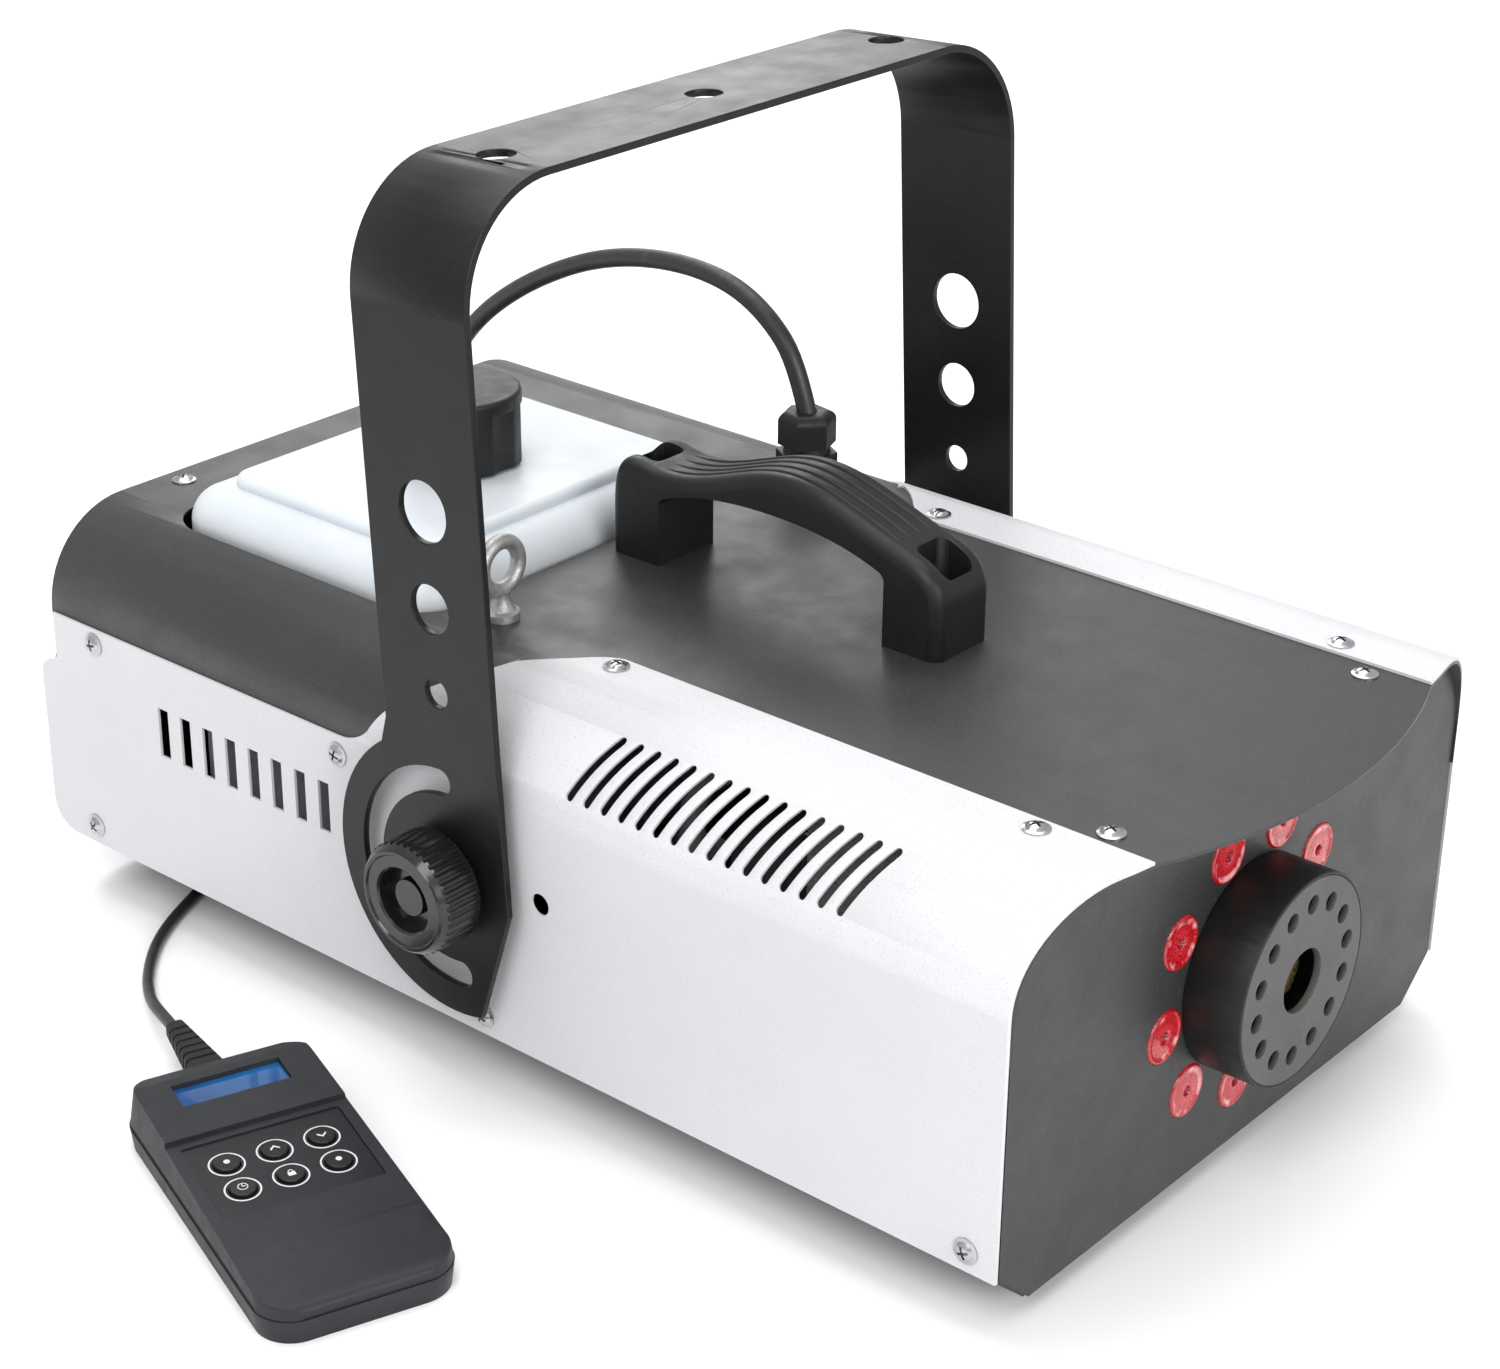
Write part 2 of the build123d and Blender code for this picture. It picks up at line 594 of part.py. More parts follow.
plug_body_r = 18.5
with BuildPart() as mains_plug:
    with BuildSketch(Plane.XY.offset(plug_z)):
        with BuildLine():
            Polyline((plug_x, plug_y), (plug_x, plug_y + 5), (plug_x - 16, plug_y + 7))
            ThreePointArc((plug_x - 16, plug_y + 7), (plug_x - 22, plug_y + 14),
                          (plug_x - 30, plug_y + plug_body_r))
            Polyline((plug_x - 30, plug_y + plug_body_r), (plug_x - 52, plug_y + plug_body_r),
                     (plug_x - 52, plug_y), (plug_x, plug_y))
        make_face()
    revolve(axis=Axis((plug_x, plug_y, plug_z), (1, 0, 0)))
    with Locations(*[Plane(origin=(plug_x - 52, plug_y + dy, plug_z), z_dir=(-1, 0, 0)) for dy in (-9.5, 9.5)]):
        Cylinder(2.4, 19, align=(Align.CENTER, Align.CENTER, Align.MIN))
save(mains_plug.part, "mains_plug")

# ------------------------------------------------------------------ yoke bracket
yoke_plane = Plane(origin=(0, pivot_y, pivot_z), x_dir=(1, 0, 0),
                   z_dir=(0, math.sin(math.radians(yoke_lean)), math.cos(math.radians(yoke_lean))))
arm_front = -yoke_width / 2 - yoke_forward
arm_rear = yoke_width / 2 - yoke_forward
yoke_inner_x = yoke_outer_x - yoke_t
slot_span = slot_start - slot_end
tip_angle = -103.0


def curved_slot(radius, width, start, span):
    """Outline of a round-ended slot that bends about the sketch's origin."""
    with BuildLine() as line:
        for r in (radius - width / 2, radius + width / 2):
            CenterArc((0, 0), r, start, span)
        for angle, cap_start in ((start, start + 180), (start + span, start + span)):
            turn = math.radians(angle)
            CenterArc((radius * math.cos(turn), radius * math.sin(turn)), width / 2, cap_start, 180)
    return line.edges()


tip = (plate_r * math.cos(math.radians(tip_angle)), plate_r * math.sin(math.radians(tip_angle)))
rear_angle = math.degrees(math.acos((arm_rear + 3) / plate_r))
with BuildPart() as bracket:
    # the U-shaped strap, made upright about the pivot
    with BuildSketch(Plane.XZ.offset(-arm_rear)):
        with BuildLine():
            for outer, top, radius in ((yoke_outer_x, yoke_height, yoke_corner_r),
                                       (yoke_inner_x, yoke_height - yoke_t, yoke_corner_r - yoke_t)):
                Line((outer, 0), (outer, top - radius))
                CenterArc((outer - radius, top - radius), radius, 0, 90)
                Line((outer - radius, top), (0, top))
            Line((yoke_outer_x, 0), (yoke_inner_x, 0))
            Line((0, yoke_height), (0, yoke_height - yoke_t))
        make_face()
        mirror(about=Plane.YZ)
    extrude(amount=yoke_width)
    # the round lower plates, one on each arm
    for side_plane in (Plane.YZ.offset(yoke_inner_x), Plane.YZ.offset(-yoke_outer_x)):
        with BuildSketch(side_plane):
            with BuildLine():
                Polyline((arm_rear, 50), (arm_front, 50), (arm_front - 0.6, -6), tip)
                CenterArc((0, 0), plate_r, tip_angle, rear_angle - tip_angle)
                Line((plate_r * math.cos(math.radians(rear_angle)),
                      plate_r * math.sin(math.radians(rear_angle))), (arm_rear, 50))
            make_face()
        extrude(amount=yoke_t)
    # curved slot, pivot hole and the lightening holes, through both arms
    with BuildSketch(Plane.YZ.offset(-yoke_outer_x - 1)):
        Circle(stud_r + stud_gap)
        make_face(curved_slot(slot_r, slot_width, slot_end, slot_span))
        for height, radius in arm_holes:
            with Locations((-yoke_forward, height)):
                Circle(radius)
    extrude(amount=2 * yoke_outer_x + 2, mode=Mode.SUBTRACT)
    with BuildSketch(Plane.XY.offset(yoke_height - 2 * yoke_t)):
        with Locations((0, -yoke_forward)):
            with GridLocations(clamp_hole_x, 1, 3, 1):
                Circle(clamp_hole_r)
    extrude(amount=3 * yoke_t, mode=Mode.SUBTRACT)
bracket_at_rest = yoke_plane * bracket.part
save(bracket_at_rest, "bracket")

# studs, spacers and guide pins at the pivot, made for +x and mirrored
spacer_t = yoke_inner_x - half_width - side_gap
with BuildPart() as spacer:
    with BuildSketch(Plane.YZ.offset(half_width)):
        with Locations((pivot_y, pivot_z)):
            Circle(11)
            Circle(stud_r + 0.3, mode=Mode.SUBTRACT)
    extrude(amount=spacer_t)
save(group([spacer.part, mirror(spacer.part, about=Plane.YZ)]), "pivot_spacers")

knob_inner_x = yoke_outer_x + 3.0
with BuildPart() as stud:
    with BuildSketch(Plane.YZ.offset(half_width - 9)):
        with Locations((pivot_y, pivot_z)):
            RegularPolygon(7, 6, major_radius=False)
    extrude(amount=9 - 2 * sheet - panel_gap)
    with BuildSketch(Plane.YZ.offset(half_width - 12)):
        with Locations((pivot_y, pivot_z)):
            Circle(stud_r)
    extrude(amount=knob_inner_x + 8 - half_width + 12)
save(group([stud.part, mirror(stud.part, about=Plane.YZ)]), "pivot_studs")

with BuildPart() as guide_pin:
    with Locations(Plane(origin=(half_width - 6, guide_y, guide_z), z_dir=(1, 0, 0))):
        Cylinder(guide_r, yoke_outer_x + side_gap - half_width + 6,
                 align=(Align.CENTER, Align.CENTER, Align.MIN))
    with Locations(Plane(origin=(yoke_outer_x + side_gap, guide_y, guide_z), z_dir=(1, 0, 0))):
        Cylinder(5.6, 2.2, align=(Align.CENTER, Align.CENTER, Align.MIN))
save(group([guide_pin.part, mirror(guide_pin.part, about=Plane.YZ)]), "guide_pins")

with BuildPart() as knob:
    with BuildSketch(Plane.XZ):
        with BuildLine():
            Polyline((stud_r + stud_gap, -3 + side_gap), (stud_r + 5, -3 + side_gap), (stud_r + 5, 0),
                     (knob_r - 1, 0), (knob_r, 1), (knob_r, knob_depth - 3),
                     (knob_face_r + 0.6, knob_depth - 0.6), (knob_face_r, knob_depth),
                     (knob_face_r - 1.0, knob_depth), (knob_face_r - 1.5, knob_depth - 0.6),
                     (knob_recess_r + 0.9, knob_depth - 0.6), (knob_recess_r + 0.2, knob_depth - 1.2),
                     (knob_recess_r, knob_depth - 6), (6.4, knob_depth - 6), (6.0, knob_depth - 3.5),
                     (0, knob_depth - 3.5), (0, 9), (stud_r + stud_gap, 9),
                     (stud_r + stud_gap, -3 + side_gap))
        make_face()
    revolve(axis=Axis.Z)
    with BuildSketch(Plane.XY.offset(0.8)):
        with PolarLocations(knob_r + 0.3, knob_flutes):
            Circle(1.0)
    extrude(amount=knob_depth - 3, mode=Mode.SUBTRACT)
for name, side in (("knob_right", 1), ("knob_left", -1)):
    place = Plane(origin=(side * knob_inner_x, pivot_y, pivot_z), z_dir=(side, 0, 0))
    save(place * knob.part, name)

# --------------------------------------------------------- nozzle, lights, heater
with BuildPart() as nozzle_shroud:
    with BuildSketch(Plane.XZ.offset(-front_y)):
        with Locations((0, nozzle_z)):
            Circle(shroud_r)
            Circle(shroud_r - shroud_wall, mode=Mode.SUBTRACT)
    extrude(amount=shroud_length)
    with BuildSketch(Plane.XZ.offset(-front_y + shroud_length)):
        with Locations((0, nozzle_z)):
            Circle(shroud_r - 1.1)
    extrude(amount=-nozzle_plate_t, mode=Mode.SUBTRACT)
save(nozzle_shroud.part, "nozzle_shroud")

with BuildPart() as nozzle_plate:
    with BuildSketch(Plane.XZ.offset(-front_y + shroud_length)):
        with Locations((0, nozzle_z)):
            Circle(shroud_r - 1.1 - 0.05)
            Circle(nozzle_hole_r, mode=Mode.SUBTRACT)
            with PolarLocations(plate_hole_ring_r, plate_hole_count, start_angle=8):
                Circle(plate_hole_r, mode=Mode.SUBTRACT)
    extrude(amount=-nozzle_plate_t)
save(nozzle_plate.part, "nozzle_plate")

heater_size = (70.0, 110.0, 46.0)
heater_y = front_y + 30 + heater_size[1] / 2
heater_front = heater_y - heater_size[1] / 2
heater_rear = heater_y + heater_size[1] / 2
with BuildPart() as heater_block:
    with Locations((0, heater_y, nozzle_z)):
        Box(*heater_size)
    fillet(heater_block.edges().filter_by(Axis.Y), 6)
    for dz in (-heater_size[2] / 2, heater_size[2] / 2):
        with Locations((0, heater_y, nozzle_z + dz)):
            with GridLocations(12, 1, 5, 1):
                Box(4, heater_size[1], 6, mode=Mode.SUBTRACT)
save(heater_block.part, "heater_block")

with BuildPart() as nozzle_tube:
    with BuildSketch(Plane.XZ.offset(-heater_front)):
        with Locations((0, nozzle_z)):
            Circle(7)
            Circle(2.5, mode=Mode.SUBTRACT)
    extrude(amount=heater_front - front_y + 8)
    with BuildSketch(Plane.XZ.offset(-front_y + 8)):
        with Locations((0, nozzle_z)):
            RegularPolygon(7.5, 6, major_radius=False)
            Circle(1.6, mode=Mode.SUBTRACT)
    extrude(amount=6)
save(nozzle_tube.part, "nozzle_tube")

wool_t = 5.0
with BuildPart() as heater_insulation:
    with BuildSketch(Plane.XZ.offset(-heater_rear)):
        with Locations((0, nozzle_z)):
            RectangleRounded(heater_size[0] + 2 * wool_t, heater_size[2] + 2 * wool_t, 8)
            RectangleRounded(heater_size[0] + 0.4, heater_size[2] + 0.4, 5.9, mode=Mode.SUBTRACT)
    extrude(amount=heater_size[1])
save(heater_insulation.part, "heater_insulation")

stand_top_z = nozzle_z - heater_size[2] / 2 - wool_t
with BuildPart() as heater_stand:
    for y in (heater_y - 35, heater_y + 35):
        with BuildSketch(Plane.XZ.offset(-y)):
            with BuildLine():
                Polyline((-44, base_z + sheet), (-30, base_z + sheet), (-30, stand_top_z - 2),
                         (30, stand_top_z - 2), (30, base_z + sheet), (44, base_z + sheet),
                         (44, base_z + sheet + 2), (32, base_z + sheet + 2), (32, stand_top_z),
                         (-32, stand_top_z), (-32, base_z + sheet + 2), (-44, base_z + sheet + 2),
                         (-44, base_z + sheet))
            make_face()
        extrude(amount=12, both=True)
save(heater_stand.part, "heater_stand")

with BuildPart() as thermostat:
    with BuildSketch(Plane.XZ.offset(-heater_rear)):
        with Locations((20, nozzle_z)):
            Circle(8)
    extrude(amount=-6)
    with BuildSketch(Plane.XZ.offset(-heater_rear - 6)):
        with Locations((16, nozzle_z), (24, nozzle_z)):
            Rectangle(0.8, 6)
    extrude(amount=-7)
save(thermostat.part, "thermostat")

lens_depth = 8.0
with BuildPart() as led_lenses:
    with BuildSketch(Plane.XZ.offset(-front_y + 0.6)):
        with Locations(*lens_spots):
            Circle(lens_r)
    extrude(amount=-(lens_depth + 0.6))
    fillet(led_lenses.edges().group_by(Axis.Y)[0], 0.5)
    with BuildSketch(Plane.XZ.offset(-front_y + 1)):
        with Locations(*lens_spots):
            Circle(1.7)
    extrude(amount=-3.5, mode=Mode.SUBTRACT)
save(led_lenses.part, "led_lenses")

with BuildPart() as led_board:
    with BuildSketch(Plane.XZ.offset(-(front_y + lens_depth))):
        with Locations((0, nozzle_z)):
            Circle(led_ring_r + 12)
            Circle(led_ring_r - 14, mode=Mode.SUBTRACT)
    extrude(amount=-1.6)
    with BuildSketch(Plane.XZ.offset(-(front_y + lens_depth + 1.6))):
        with Locations(*[(0.97 * x, nozzle_z + 0.97 * (z - nozzle_z)) for x, z in lens_spots]):
            Rectangle(6, 6)
    extrude(amount=-2)
save(led_board.part, "led_board")

# ------------------------------------------------------------------ fluid system
pump_x, pump_y = -45.0, -20.0
pump_floor_z = base_z + sheet + 2
with BuildPart() as pump:
    with Locations((pump_x, pump_y, pump_floor_z)):
        Box(42, 40, 30, align=(Align.CENTER, Align.CENTER, Align.MIN))
    fillet(pump.edges().filter_by(Axis.Z), 4)
    with Locations((pump_x, pump_y, base_z + sheet)):
        Box(56, 62, 2, align=(Align.CENTER, Align.CENTER, Align.MIN))
    with Locations((pump_x, pump_y, pump_floor_z + 30)):
        Cylinder(13, 22, align=(Align.CENTER, Align.CENTER, Align.MIN))
        Cylinder(15, 8, align=(Align.CENTER, Align.CENTER, Align.MIN))
    with Locations(Plane(origin=(pump_x, pump_y + 20, pump_floor_z + 12), z_dir=(0, 1, 0))):
        Cylinder(3.0, 10, align=(Align.CENTER, Align.CENTER, Align.MIN))
    with Locations(Plane(origin=(pump_x, pump_y, pump_floor_z + 52), z_dir=(0, 0, 1))):
        Cylinder(3.0, 6, align=(Align.CENTER, Align.CENTER, Align.MIN))
save(pump.part, "pump")

cradle_t = 2.0
cradle_top_z = tank_floor_z - 0.3
with BuildPart() as tank_cradle:
    with BuildSketch(Plane.XY.offset(cradle_top_z - cradle_t)):
        with Locations(tank_centre):
            Rectangle(tank_size[0] + 4, tank_size[1] + 2)
        with Locations((neck_x, neck_y)):
            Circle(spout_r + 3, mode=Mode.SUBTRACT)
    extrude(amount=cradle_t)
    for side in (-1, 1):
        with Locations((tank_centre[0] + side * (tank_size[0] / 2 + 2 - cradle_t / 2), tank_centre[1],
                        base_z + sheet)):
            Box(cradle_t, tank_size[1] + 2, cradle_top_z - base_z - sheet,
                align=(Align.CENTER, Align.CENTER, Align.MIN))
        with Locations((tank_centre[0] + side * (tank_size[0] / 2 + 5.5), tank_centre[1], base_z + sheet)):
            Box(7.1, tank_size[1] - 20, cradle_t, align=(Align.CENTER, Align.CENTER, Align.MIN))
save(tank_cradle.part, "tank_cradle")

with BuildPart() as tank_socket:
    with Locations((neck_x, neck_y, base_z + sheet)):
        Cylinder(spout_r + 2.5, cradle_top_z - cradle_t - base_z - sheet - 0.5,
                 align=(Align.CENTER, Align.CENTER, Align.MIN))
    with Locations((neck_x, neck_y, base_z + sheet + 2.5)):
        Cylinder(spout_r + spout_gap, 30, align=(Align.CENTER, Align.CENTER, Align.MIN),
                 mode=Mode.SUBTRACT)
        Cylinder(2, 4, align=(Align.CENTER, Align.CENTER, Align.MIN))
    with Locations(Plane(origin=(neck_x, neck_y - spout_r - 2, base_z + sheet + 7), z_dir=(0, -1, 0))):
        Cylinder(3, 12, align=(Align.CENTER, Align.CENTER, Align.MIN))
save(tank_socket.part, "tank_socket")

spout_floor_z = base_z + sheet + 7.5
tank_x, tank_y = tank_centre
tank_top_z = tank_floor_z + tank_size[2]
with BuildPart() as tank:
    # outer body with a rounded roof
    with Locations((tank_x, tank_y, tank_floor_z)):
        Box(tank_size[0], tank_size[1], tank_size[2] - tank_step,
            align=(Align.CENTER, Align.CENTER, Align.MIN))
    fillet(tank.edges().filter_by(Axis.Z), tank_corner_r - opening_gap)
    fillet(tank.faces().sort_by(Axis.Z)[-1].edges(), tank_round)
    # the raised roof panel
    with BuildSketch(Plane.XY.offset(tank_top_z - tank_step - 1)):
        with Locations((tank_x, tank_y)):
            RectangleRounded(tank_size[0] - 2 * tank_round, tank_size[1] - 2 * tank_round, 8)
    extrude(amount=tank_step + 1)
    fillet(tank.faces().sort_by(Axis.Z)[-1].edges(), 0.7 * tank_step)
    with Locations((neck_x, neck_y, tank_top_z)):
        Cylinder(neck_r, neck_height, align=(Align.CENTER, Align.CENTER, Align.MIN))
    with Locations((neck_x, neck_y, spout_floor_z)):
        Cylinder(spout_r, tank_floor_z - spout_floor_z, align=(Align.CENTER, Align.CENTER, Align.MIN))
    # the hollow for the fluid
    with BuildSketch(Plane.XY.offset(tank_floor_z + tank_wall)):
        with Locations((tank_x, tank_y)):
            RectangleRounded(tank_size[0] - 2 * tank_wall, tank_size[1] - 2 * tank_wall,
                             tank_corner_r - opening_gap - tank_wall)
    extrude(amount=tank_size[2] - tank_step - tank_round - tank_wall, mode=Mode.SUBTRACT)
    with Locations((neck_x, neck_y, tank_top_z - 20)):
        Cylinder(neck_r - tank_wall, 60, align=(Align.CENTER, Align.CENTER, Align.MIN),
                 mode=Mode.SUBTRACT)
    with Locations((neck_x, neck_y, spout_floor_z - 1)):
        Cylinder(4, 20, align=(Align.CENTER, Align.CENTER, Align.MIN), mode=Mode.SUBTRACT)
save(tank.part, "tank")

cap_floor_z = tank_top_z + 1.0
with BuildPart() as tank_cap:
    with Locations((neck_x, neck_y, cap_floor_z)):
        Cylinder(cap_r, cap_height, align=(Align.CENTER, Align.CENTER, Align.MIN))
    fillet(tank_cap.faces().sort_by(Axis.Z)[-1].edges(), 1.6)
    with BuildSketch(Plane.XY.offset(cap_floor_z)):
        with Locations((neck_x, neck_y)):
            with PolarLocations(cap_r + 16.6, 8):
                Circle(18)
    extrude(amount=cap_height - 5, mode=Mode.SUBTRACT)
    with Locations((neck_x, neck_y, cap_floor_z - 0.01)):
        Cylinder(neck_r + cap_gap, neck_height + 1, align=(Align.CENTER, Align.CENTER, Align.MIN),
                 mode=Mode.SUBTRACT)
save(tank_cap.part, "tank_cap")

# the two hoses: tank socket to pump, pump to heater
hose_r = 4.5
hose_bore = 3.1
hose_z = base_z + sheet + 7.0
supply_route = [(neck_x, neck_y - spout_r - 4, hose_z), (neck_x, 72, hose_z), (neck_x - 9, 48, hose_z),
                (pump_x + 6, 28, hose_z + 4), (pump_x, 12, pump_floor_z + 12),
                (pump_x, pump_y + 22, pump_floor_z + 12)]
delivery_route = [(pump_x, pump_y, pump_floor_z + 53), (pump_x, pump_y, pump_floor_z + 68),
                  (pump_x + 8, pump_y - 3, pump_floor_z + 84), (-22, pump_y - 8, pump_floor_z + 86),
                  (-10, pump_y - 18, pump_floor_z + 76), (-6, heater_rear + 16, nozzle_z),
                  (-6, heater_rear, nozzle_z)]


def hose(points):
    """A hose with a bore, along straight runs joined by tangent arcs."""
    with BuildPart() as tube:
        with BuildLine() as route:
            FilletPolyline(*points, radius=[0.95 * r for r in arc_radii(points)])
        path = route.wire()
        with BuildSketch(Plane(origin=path @ 0, z_dir=path % 0)):
            Circle(hose_r)
            Circle(hose_bore, mode=Mode.SUBTRACT)
        sweep(path=path)
    return tube.part


save(group([hose(supply_route), hose(delivery_route)]), "fluid_hoses")

# ------------------------------------------------------------------- electronics
board_x, board_y = 88.5, 112.0
board_z = base_z + 12.0
with BuildPart() as control_board:
    with Locations((board_x, board_y, board_z)):
        Box(44, 120, 1.6, align=(Align.CENTER, Align.CENTER, Align.MIN))
        with GridLocations(34, 112, 2, 2):
            Cylinder(2.5, board_z - base_z - sheet, align=(Align.CENTER, Align.CENTER, Align.MAX))
    with Locations((board_x, board_y, board_z + 1.6)):
        with Locations((-12, -40, 0), (12, -40, 0)):
            Box(16, 20, 15, align=(Align.CENTER, Align.CENTER, Align.MIN))
        with Locations((-14, 0, 0), (-14, 18, 0), (0, 8, 0)):
            Cylinder(5, 20, align=(Align.CENTER, Align.CENTER, Align.MIN))
        with Locations((12, 42, 0)):
            Box(20, 12, 11, align=(Align.CENTER, Align.CENTER, Align.MIN))
        with Locations((14, 6, 0)):
            Box(10, 30, 24, align=(Align.CENTER, Align.CENTER, Align.MIN))
save(control_board.part, "control_board")

transformer_x, transformer_y = 85.0, -15.0
with BuildPart() as transformer:
    with Locations((transformer_x, transformer_y, base_z + sheet)):
        Box(44, 52, 38, align=(Align.CENTER, Align.CENTER, Align.MIN))
    fillet(transformer.edges().filter_by(Axis.Z), 1.5)
    with Locations((transformer_x, transformer_y, base_z + sheet + 6)):
        Box(56, 30, 26, align=(Align.CENTER, Align.CENTER, Align.MIN))
    with Locations((transformer_x, transformer_y, base_z + sheet)):
        Box(44, 70, 2, align=(Align.CENTER, Align.CENTER, Align.MIN))
save(transformer.part, "transformer")

# ------------------------------------------------------------- rear panel sockets
rocker_pivot_y = rear_y - 3.0
trunnion_r = 1.5
switch_plane = Plane(origin=(switch_x, rear_y, switch_z), x_dir=(1, 0, 0), z_dir=(0, 1, 0))
with BuildPart() as power_switch:
    with BuildSketch(switch_plane):
        Rectangle(switch_size[0] + 4, switch_size[1] + 4)
    extrude(amount=1.8)
    with BuildSketch(switch_plane):
        Rectangle(*switch_size)
    extrude(amount=-18)
    with BuildSketch(switch_plane.offset(2)):
        Rectangle(switch_size[0] - 3, switch_size[1] - 3)
    extrude(amount=-14, mode=Mode.SUBTRACT)
    with Locations(Plane(origin=(switch_x, rocker_pivot_y, switch_z), z_dir=(1, 0, 0))):
        Cylinder(trunnion_r + 0.05, switch_size[0] - 1.6, mode=Mode.SUBTRACT)
save(power_switch.part, "power_switch")

rocker_half = 6.0
with BuildPart() as switch_rocker:
    with BuildSketch(Plane.YZ.offset(switch_x - (switch_size[0] - 3.6) / 2)):
        with BuildLine():
            Polyline((rocker_pivot_y - 3, switch_z - rocker_half), (rocker_pivot_y + 6.8, switch_z - rocker_half),
                     (rocker_pivot_y + 5.2, switch_z), (rocker_pivot_y + 5.2, switch_z + rocker_half),
                     (rocker_pivot_y - 3, switch_z + rocker_half), (rocker_pivot_y - 6, switch_z + 2),
                     (rocker_pivot_y - 6, switch_z - 2), (rocker_pivot_y - 3, switch_z - rocker_half))
        make_face()
    extrude(amount=switch_size[0] - 3.6)
    with Locations(Plane(origin=(switch_x, rocker_pivot_y, switch_z), z_dir=(1, 0, 0))):
        Cylinder(trunnion_r, switch_size[0] - 2)
save(switch_rocker.part, "switch_rocker")

with BuildPart() as fuse_holder:
    with BuildSketch(Plane.XZ.offset(-rear_y)):
        with Locations((fuse_x, fuse_z)):
            Circle(fuse_r + 1.8)
    extrude(amount=-2.5)
    with BuildSketch(Plane.XZ.offset(-rear_y)):
        with Locations((fuse_x, fuse_z)):
            Circle(fuse_r)
    extrude(amount=24)
    with BuildSketch(Plane.XZ.offset(-rear_y - 3)):
        with Locations((fuse_x, fuse_z)):
            Circle(3.6)
    extrude(amount=22, mode=Mode.SUBTRACT)
save(fuse_holder.part, "fuse_holder")

with BuildPart() as fuse_cap:
    with BuildSketch(Plane.XZ.offset(-rear_y - 2.7)):
        with Locations((fuse_x, fuse_z)):
            Circle(fuse_r)
    extrude(amount=-5)
    with BuildSketch(Plane.XZ.offset(-rear_y - 7.7)):
        with Locations((fuse_x, fuse_z)):
            Rectangle(8, 1.4)
    extrude(amount=1.4, mode=Mode.SUBTRACT)
    with BuildSketch(Plane.XZ.offset(-rear_y - 2.7)):
        with Locations((fuse_x, fuse_z)):
            Circle(3.4)
    extrude(amount=12)
save(fuse_cap.part, "fuse_cap")

with BuildPart() as dmx_sockets:
    for x in xlr_x:
        with BuildSketch(Plane.XZ.offset(-rear_y)):
            with Locations((x, xlr_z)):
                RectangleRounded(26, 31, 3)
        extrude(amount=-1.6)
        with BuildSketch(Plane.XZ.offset(-rear_y)):
            with Locations((x, xlr_z)):
                Circle(xlr_r)
        extrude(amount=18)
        with BuildSketch(Plane.XZ.offset(-rear_y - 2)):
            with Locations((x, xlr_z)):
                Circle(xlr_r - 2.1)
        extrude(amount=15, mode=Mode.SUBTRACT)
        with BuildSketch(Plane.XZ.offset(-rear_y + 13)):
            with Locations((x, xlr_z)):
                with PolarLocations(4.5, 3, start_angle=30):
                    Circle(1.2)
        extrude(amount=-8)
save(dmx_sockets.part, "dmx_sockets")

with BuildPart() as remote_socket:
    with BuildSketch(Plane.XZ.offset(-rear_y)):
        with Locations((socket_x, socket_z)):
            RectangleRounded(20, 20, 2)
    extrude(amount=-1.6)
    with BuildSketch(Plane.XZ.offset(-rear_y)):
        with Locations((socket_x, socket_z)):
            Circle(socket_r)
    extrude(amount=14)
    with BuildSketch(Plane.XZ.offset(-rear_y - 2)):
        with Locations((socket_x, socket_z)):
            Circle(socket_r - 1.4)
    extrude(amount=12, mode=Mode.SUBTRACT)
save(remote_socket.part, "remote_socket")

remote_plug_end_y = rear_y + 44.0
with BuildPart() as remote_plug:
    with BuildSketch(Plane.XZ.offset(-rear_y + 7)):
        with Locations((socket_x, socket_z)):
            Circle(socket_r - 1.6)
    extrude(amount=-9)
    with BuildSketch(Plane.XZ.offset(-rear_y - 1.8)):
        with Locations((socket_x, socket_z)):
            Circle(7.5)
    extrude(amount=-20)
    with BuildSketch(Plane.XZ.offset(-rear_y - 21.8)):
        with Locations((socket_x, socket_z)):
            Circle(5.5)
    extrude(amount=-(remote_plug_end_y - rear_y - 21.8), taper=4)
save(remote_plug.part, "remote_plug")

# ---------------------------------------------------------------- hand controller
# Built in its own frame: +Y towards the cable, the floor at Z = 0, then placed.
remote_place = Plane(origin=(remote_x, remote_y, 0)).rotated((0, 0, remote_turn))
cable_end = remote_length / 2
thumb_end = -remote_length / 2
head_step_y = 24.0              # the display's head starts here
head_step = 1.6
slope = math.degrees(math.atan((remote_high - head_step - remote_low - 2.5) / 64.0))
keypad_z = remote_low + 2.9
keypad_plane = Plane(origin=(0, keypad_y, keypad_z), x_dir=(1, 0, 0),
                     z_dir=(0, -math.sin(math.radians(slope)), math.cos(math.radians(slope))))
shell_t = 2.0
split_gap = 0.15

with BuildPart() as case_bottom:
    with BuildSketch(Plane.XY):
        RectangleRounded(remote_width - 2, remote_length - 2, remote_corner_r - 1)
    with BuildSketch(Plane.XY.offset(remote_base_h)):
        RectangleRounded(remote_width, remote_length, remote_corner_r)
    loft()
    with BuildSketch(Plane.XY.offset(shell_t)):
        RectangleRounded(remote_width - 2 * shell_t - 2, remote_length - 2 * shell_t - 2,
                         remote_corner_r - shell_t - 1)
    extrude(amount=remote_base_h, mode=Mode.SUBTRACT)
    with Locations(*[(x, y, shell_t) for x in (-20, 20) for y in (-48, 40)]):
        Cylinder(3, remote_base_h - shell_t - 0.5, align=(Align.CENTER, Align.CENTER, Align.MIN))
save(remote_place * case_bottom.part, "remote_case_bottom")


def button_spots():
    """Places of the six buttons on the keypad plate, in its own plane."""
    return [(column * button_pitch[0], row * button_pitch[1])
            for row in (0.5, -0.5) for column in (-1, 0, 1)]


